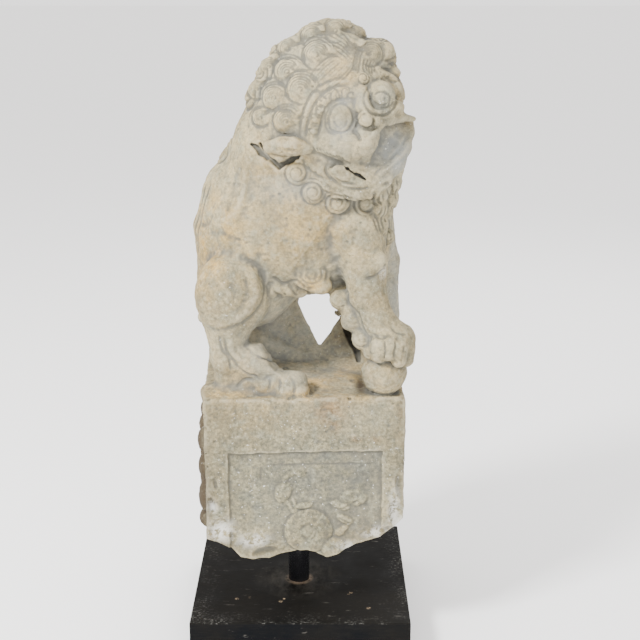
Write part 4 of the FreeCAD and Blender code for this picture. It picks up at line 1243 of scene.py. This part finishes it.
def painted_wood_material():
    """Black paint on timber: faint grain, scuffed edges, dust, a bare ring at the post's foot, and a warmer
    top over bluer sides as painted light.
    """
    material, tree, shader = new_material("painted_wood", (0.012, 0.012, 0.013), 0.6)
    shader.inputs["Specular IOR Level"].default_value = 0.05
    place = add_node(tree, "ShaderNodeTexCoord").outputs["Object"]
    split = add_node(tree, "ShaderNodeSeparateXYZ", {0: place})
    low, high = (Vector(corner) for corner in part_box("base_block"))
    top = spread(tree, split.outputs["Z"], high.z - 0.0015, high.z - 0.0005)
    # painted light: a warmer tint on the top and a bluer one on the sides
    colour = blend_colour(tree, top, (0.0026, 0.0031, 0.0040), (0.0034, 0.0031, 0.0027))
    clouds = patches(tree, 12.0, 5.0, 0.65, 0.42, 0.68)
    grain = patches(tree, 60.0, 4.0, 0.7, 0.50, 0.72, (1.0, 9.0, 9.0))
    colour = coated(tree, colour, (clouds, 0.8, (0.0085, 0.0076, 0.0062)),
                    (grain, 0.45, (0.0115, 0.0106, 0.0092)))
    # how near a place is to the block's upright edges or its top's rim
    edge = None
    spans = (("X", 0.5 * (low.x + high.x), 0.5 * (high.x - low.x)),
             ("Y", 0.5 * (low.y + high.y), 0.5 * (high.y - low.y)))
    for axis, middle, half in spans:
        shift = add_node(tree, "ShaderNodeMath", {0: split.outputs[axis], 1: middle}, operation="SUBTRACT")
        reach = add_node(tree, "ShaderNodeMath", {0: shift.outputs[0]}, operation="ABSOLUTE")
        edge = larger(tree, edge, spread(tree, reach.outputs[0], half - 0.034, half))
    rim = times(tree, times(tree, edge, edge), top)
    specks = times(tree, patches(tree, 260.0, 4.0, 0.75, 0.53, 0.66, (1.0, 1.6, 1.0)), rim)
    dust = times(tree, specks, patches(tree, 30.0, 3.0, 0.6, 0.40, 0.62))
    scuffs = patches(tree, 95.0, 4.0, 0.7, 0.63, 0.74, (0.5, 2.2, 1.0))
    colour = coated(tree, colour, (dust, 0.9, (0.19, 0.185, 0.17)), (scuffs, 0.5, (0.13, 0.122, 0.108)))
    # paint worn off round the post's foot
    post_low, post_high = (Vector(corner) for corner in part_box("support_post"))
    middle = 0.5 * (post_low + post_high)
    foot = add_node(tree, "ShaderNodeVectorMath", {0: place, 1: (middle.x, middle.y - 0.002, high.z)},
                    operation="DISTANCE").outputs["Value"]
    ring = times(tree, spread(tree, foot, 0.0185, 0.0135), patches(tree, 130.0, 4.0, 0.7, 0.34, 0.60))
    halo = times(tree, spread(tree, foot, 0.056, 0.012),
                 patches(tree, 60.0, 5.0, 0.7, 0.36, 0.72, (1.0, 0.5, 1.0)))
    colour = coated(tree, colour, (times(tree, ring, top), 1.0, (0.26, 0.19, 0.13)),
                    (times(tree, halo, top), 0.7, (0.090, 0.082, 0.070)))
    chips = None
    for across, away, size in PAINT_CHIPS:
        gap = add_node(tree, "ShaderNodeVectorMath", {0: place, 1: (across, away, high.z)},
                       operation="DISTANCE")
        chips = larger(tree, chips, spread(tree, gap.outputs["Value"], size * 1.5, size * 0.6))
    chips = times(tree, chips, patches(tree, 380.0, 3.0, 0.7, 0.46, 0.58))
    colour = coated(tree, colour, (chips, 0.8, (0.30, 0.225, 0.15)))
    tree.links.new(colour, shader.inputs["Base Color"])
    vary_roughness(tree, shader, patches(tree, 24.0, 4.0, 0.6, 0.2, 0.8), 0.5, 0.8)
    add_bump(tree, shader, noise(tree, 190.0, 4.0, 0.6, (1.0, 6.0, 6.0)), 0.25, 0.0005)
    return material


def enamel_material(name):
    """Satin black paint on steel, with faint orange peel and dust."""
    material, tree, shader = new_material(name, (0.008, 0.008, 0.009), 0.28)
    haze = patches(tree, 70.0, 4.0, 0.6, 0.4, 0.8, (1.0, 1.0, 0.15))
    colour = blend_colour(tree, times(tree, haze, 0.5), (0.005, 0.005, 0.006), (0.014, 0.014, 0.014))
    tree.links.new(colour, shader.inputs["Base Color"])
    vary_roughness(tree, shader, haze, 0.20, 0.28)
    add_bump(tree, shader, noise(tree, 600.0, 2.0, 0.5), 0.03, 0.0003)
    return material


def plain_material(name, colour, roughness, bloom, first, second, grit, metallic=0.0):
    """A plain surface whose colour blooms between two tints, under a fine grit."""
    material, tree, shader = new_material(name, colour, roughness, metallic)
    tree.links.new(blend_colour(tree, patches(tree, *bloom), first, second), shader.inputs["Base Color"])
    scale, detail, rough, strength, distance = grit
    add_bump(tree, shader, noise(tree, scale, detail, rough), strength, distance)
    return material


def zinc_material():
    """Zinc-plated steel with a fine uneven bloom."""
    return plain_material("zinc", (0.56, 0.57, 0.58), 0.34, (160.0, 3.0, 0.6, 0.3, 0.7), (0.42, 0.44, 0.47),
                          (0.66, 0.67, 0.66), (900.0, 2.0, 0.5, 0.1, 0.0002), metallic=1.0)


def rubber_material(name):
    """Dull black rubber with a bloom of dust."""
    return plain_material(name, (0.018, 0.018, 0.018), 0.8, (110.0, 4.0, 0.6, 0.35, 0.7),
                          (0.014, 0.014, 0.014), (0.040, 0.039, 0.037), (480.0, 3.0, 0.6, 0.2, 0.0003))


def liner_material():
    """Off-white moulded plastic, a little smeared with adhesive."""
    return plain_material("liner", (0.72, 0.70, 0.64), 0.45, (60.0, 4.0, 0.6, 0.45, 0.7), (0.74, 0.72, 0.66),
                          (0.60, 0.57, 0.50), (300.0, 2.0, 0.5, 0.06, 0.0003))


def dress(thing, material):
    """Give a piece one material."""
    if not thing.material_slots:
        thing.data.materials.append(material)
    for slot in thing.material_slots:
        slot.material = material


def dress_stand():
    """Materials of the CAD pieces that stay as they are."""
    enamel = enamel_material("post_enamel")
    zinc = zinc_material()
    rubber = rubber_material("foot_rubber")
    looks = {"support_post": enamel, "post_cap": enamel, "post_plate": enamel_material("plate_enamel"),
             "base_block": painted_wood_material(), "plate_screws": zinc, "foot_screws": zinc,
             "bearing_pad": rubber_material("pad_rubber"), "bore_sleeve": liner_material(),
             "foot_front_left": rubber, "foot_front_right": rubber, "foot_back_left": rubber,
             "foot_back_right": rubber}
    for name, material in looks.items():
        dress(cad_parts[name], material)


def make_stone():
    """Model the stone in clay, turn it into one mesh and put it in the CAD stone's place."""
    clay = Clay(CLAY_LOW, CLAY_HIGH, GRID)
    for work in (rough_plinth, rough_out, rough_legs, open_belly, carve_ground, hair_on_crown, carve_mouth,
                 carve_nose, carve_eyes, carve_brows, carve_ears, carve_mane, carve_tail, carve_haunches,
                 carve_trunk, carve_hind_foot, carve_foreleg, carve_plinth, chip_edges, weather, break_off,
                 drill):
        work(clay)
    stone = bpy.data.objects.new("carved_stone", clay_mesh(clay, "carved_stone"))
    bpy.context.scene.collection.objects.link(stone)
    dress(stone, stone_material())
    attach(stone, "stone")
    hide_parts("stone_lion")


def aim(thing, place, target):
    """Stand something at a place and point it at a target."""
    thing.location = place
    thing.rotation_euler = (Vector(target) - Vector(place)).to_track_quat("-Z", "Y").to_euler()


def make_studio():
    """Pale floor, soft light and the camera."""
    bpy.ops.mesh.primitive_plane_add(size=FLOOR_SIZE, location=(0, 0, 0))
    floor = bpy.context.active_object
    floor.name = "floor"
    dress(floor, new_material("floor", (0.93, 0.925, 0.92), 0.95)[0])
    world = bpy.data.worlds.new("world")
    bpy.context.scene.world = world
    world.use_nodes = True
    sky = world.node_tree.nodes["Background"]
    sky.inputs["Color"].default_value = SKY_COLOUR
    sky.inputs["Strength"].default_value = SKY_STRENGTH
    for name, place, power, size in LAMPS:
        light = bpy.data.lights.new(name, "AREA")
        light.energy = power
        light.size = size
        lamp = bpy.data.objects.new(name, light)
        aim(lamp, place, LAMP_TARGET)
        bpy.context.scene.collection.objects.link(lamp)
    lens = bpy.data.cameras.new("camera")
    lens.sensor_width = SENSOR_WIDTH
    lens.lens = FOCAL_LENGTH
    camera = bpy.data.objects.new("camera", lens)
    camera.location = EYE * MM
    camera.rotation_euler = (math.pi / 2 - EYE_PITCH, 0.0, 0.0)
    bpy.context.scene.collection.objects.link(camera)
    bpy.context.scene.camera = camera


make_stone()
dress_stand()
make_studio()
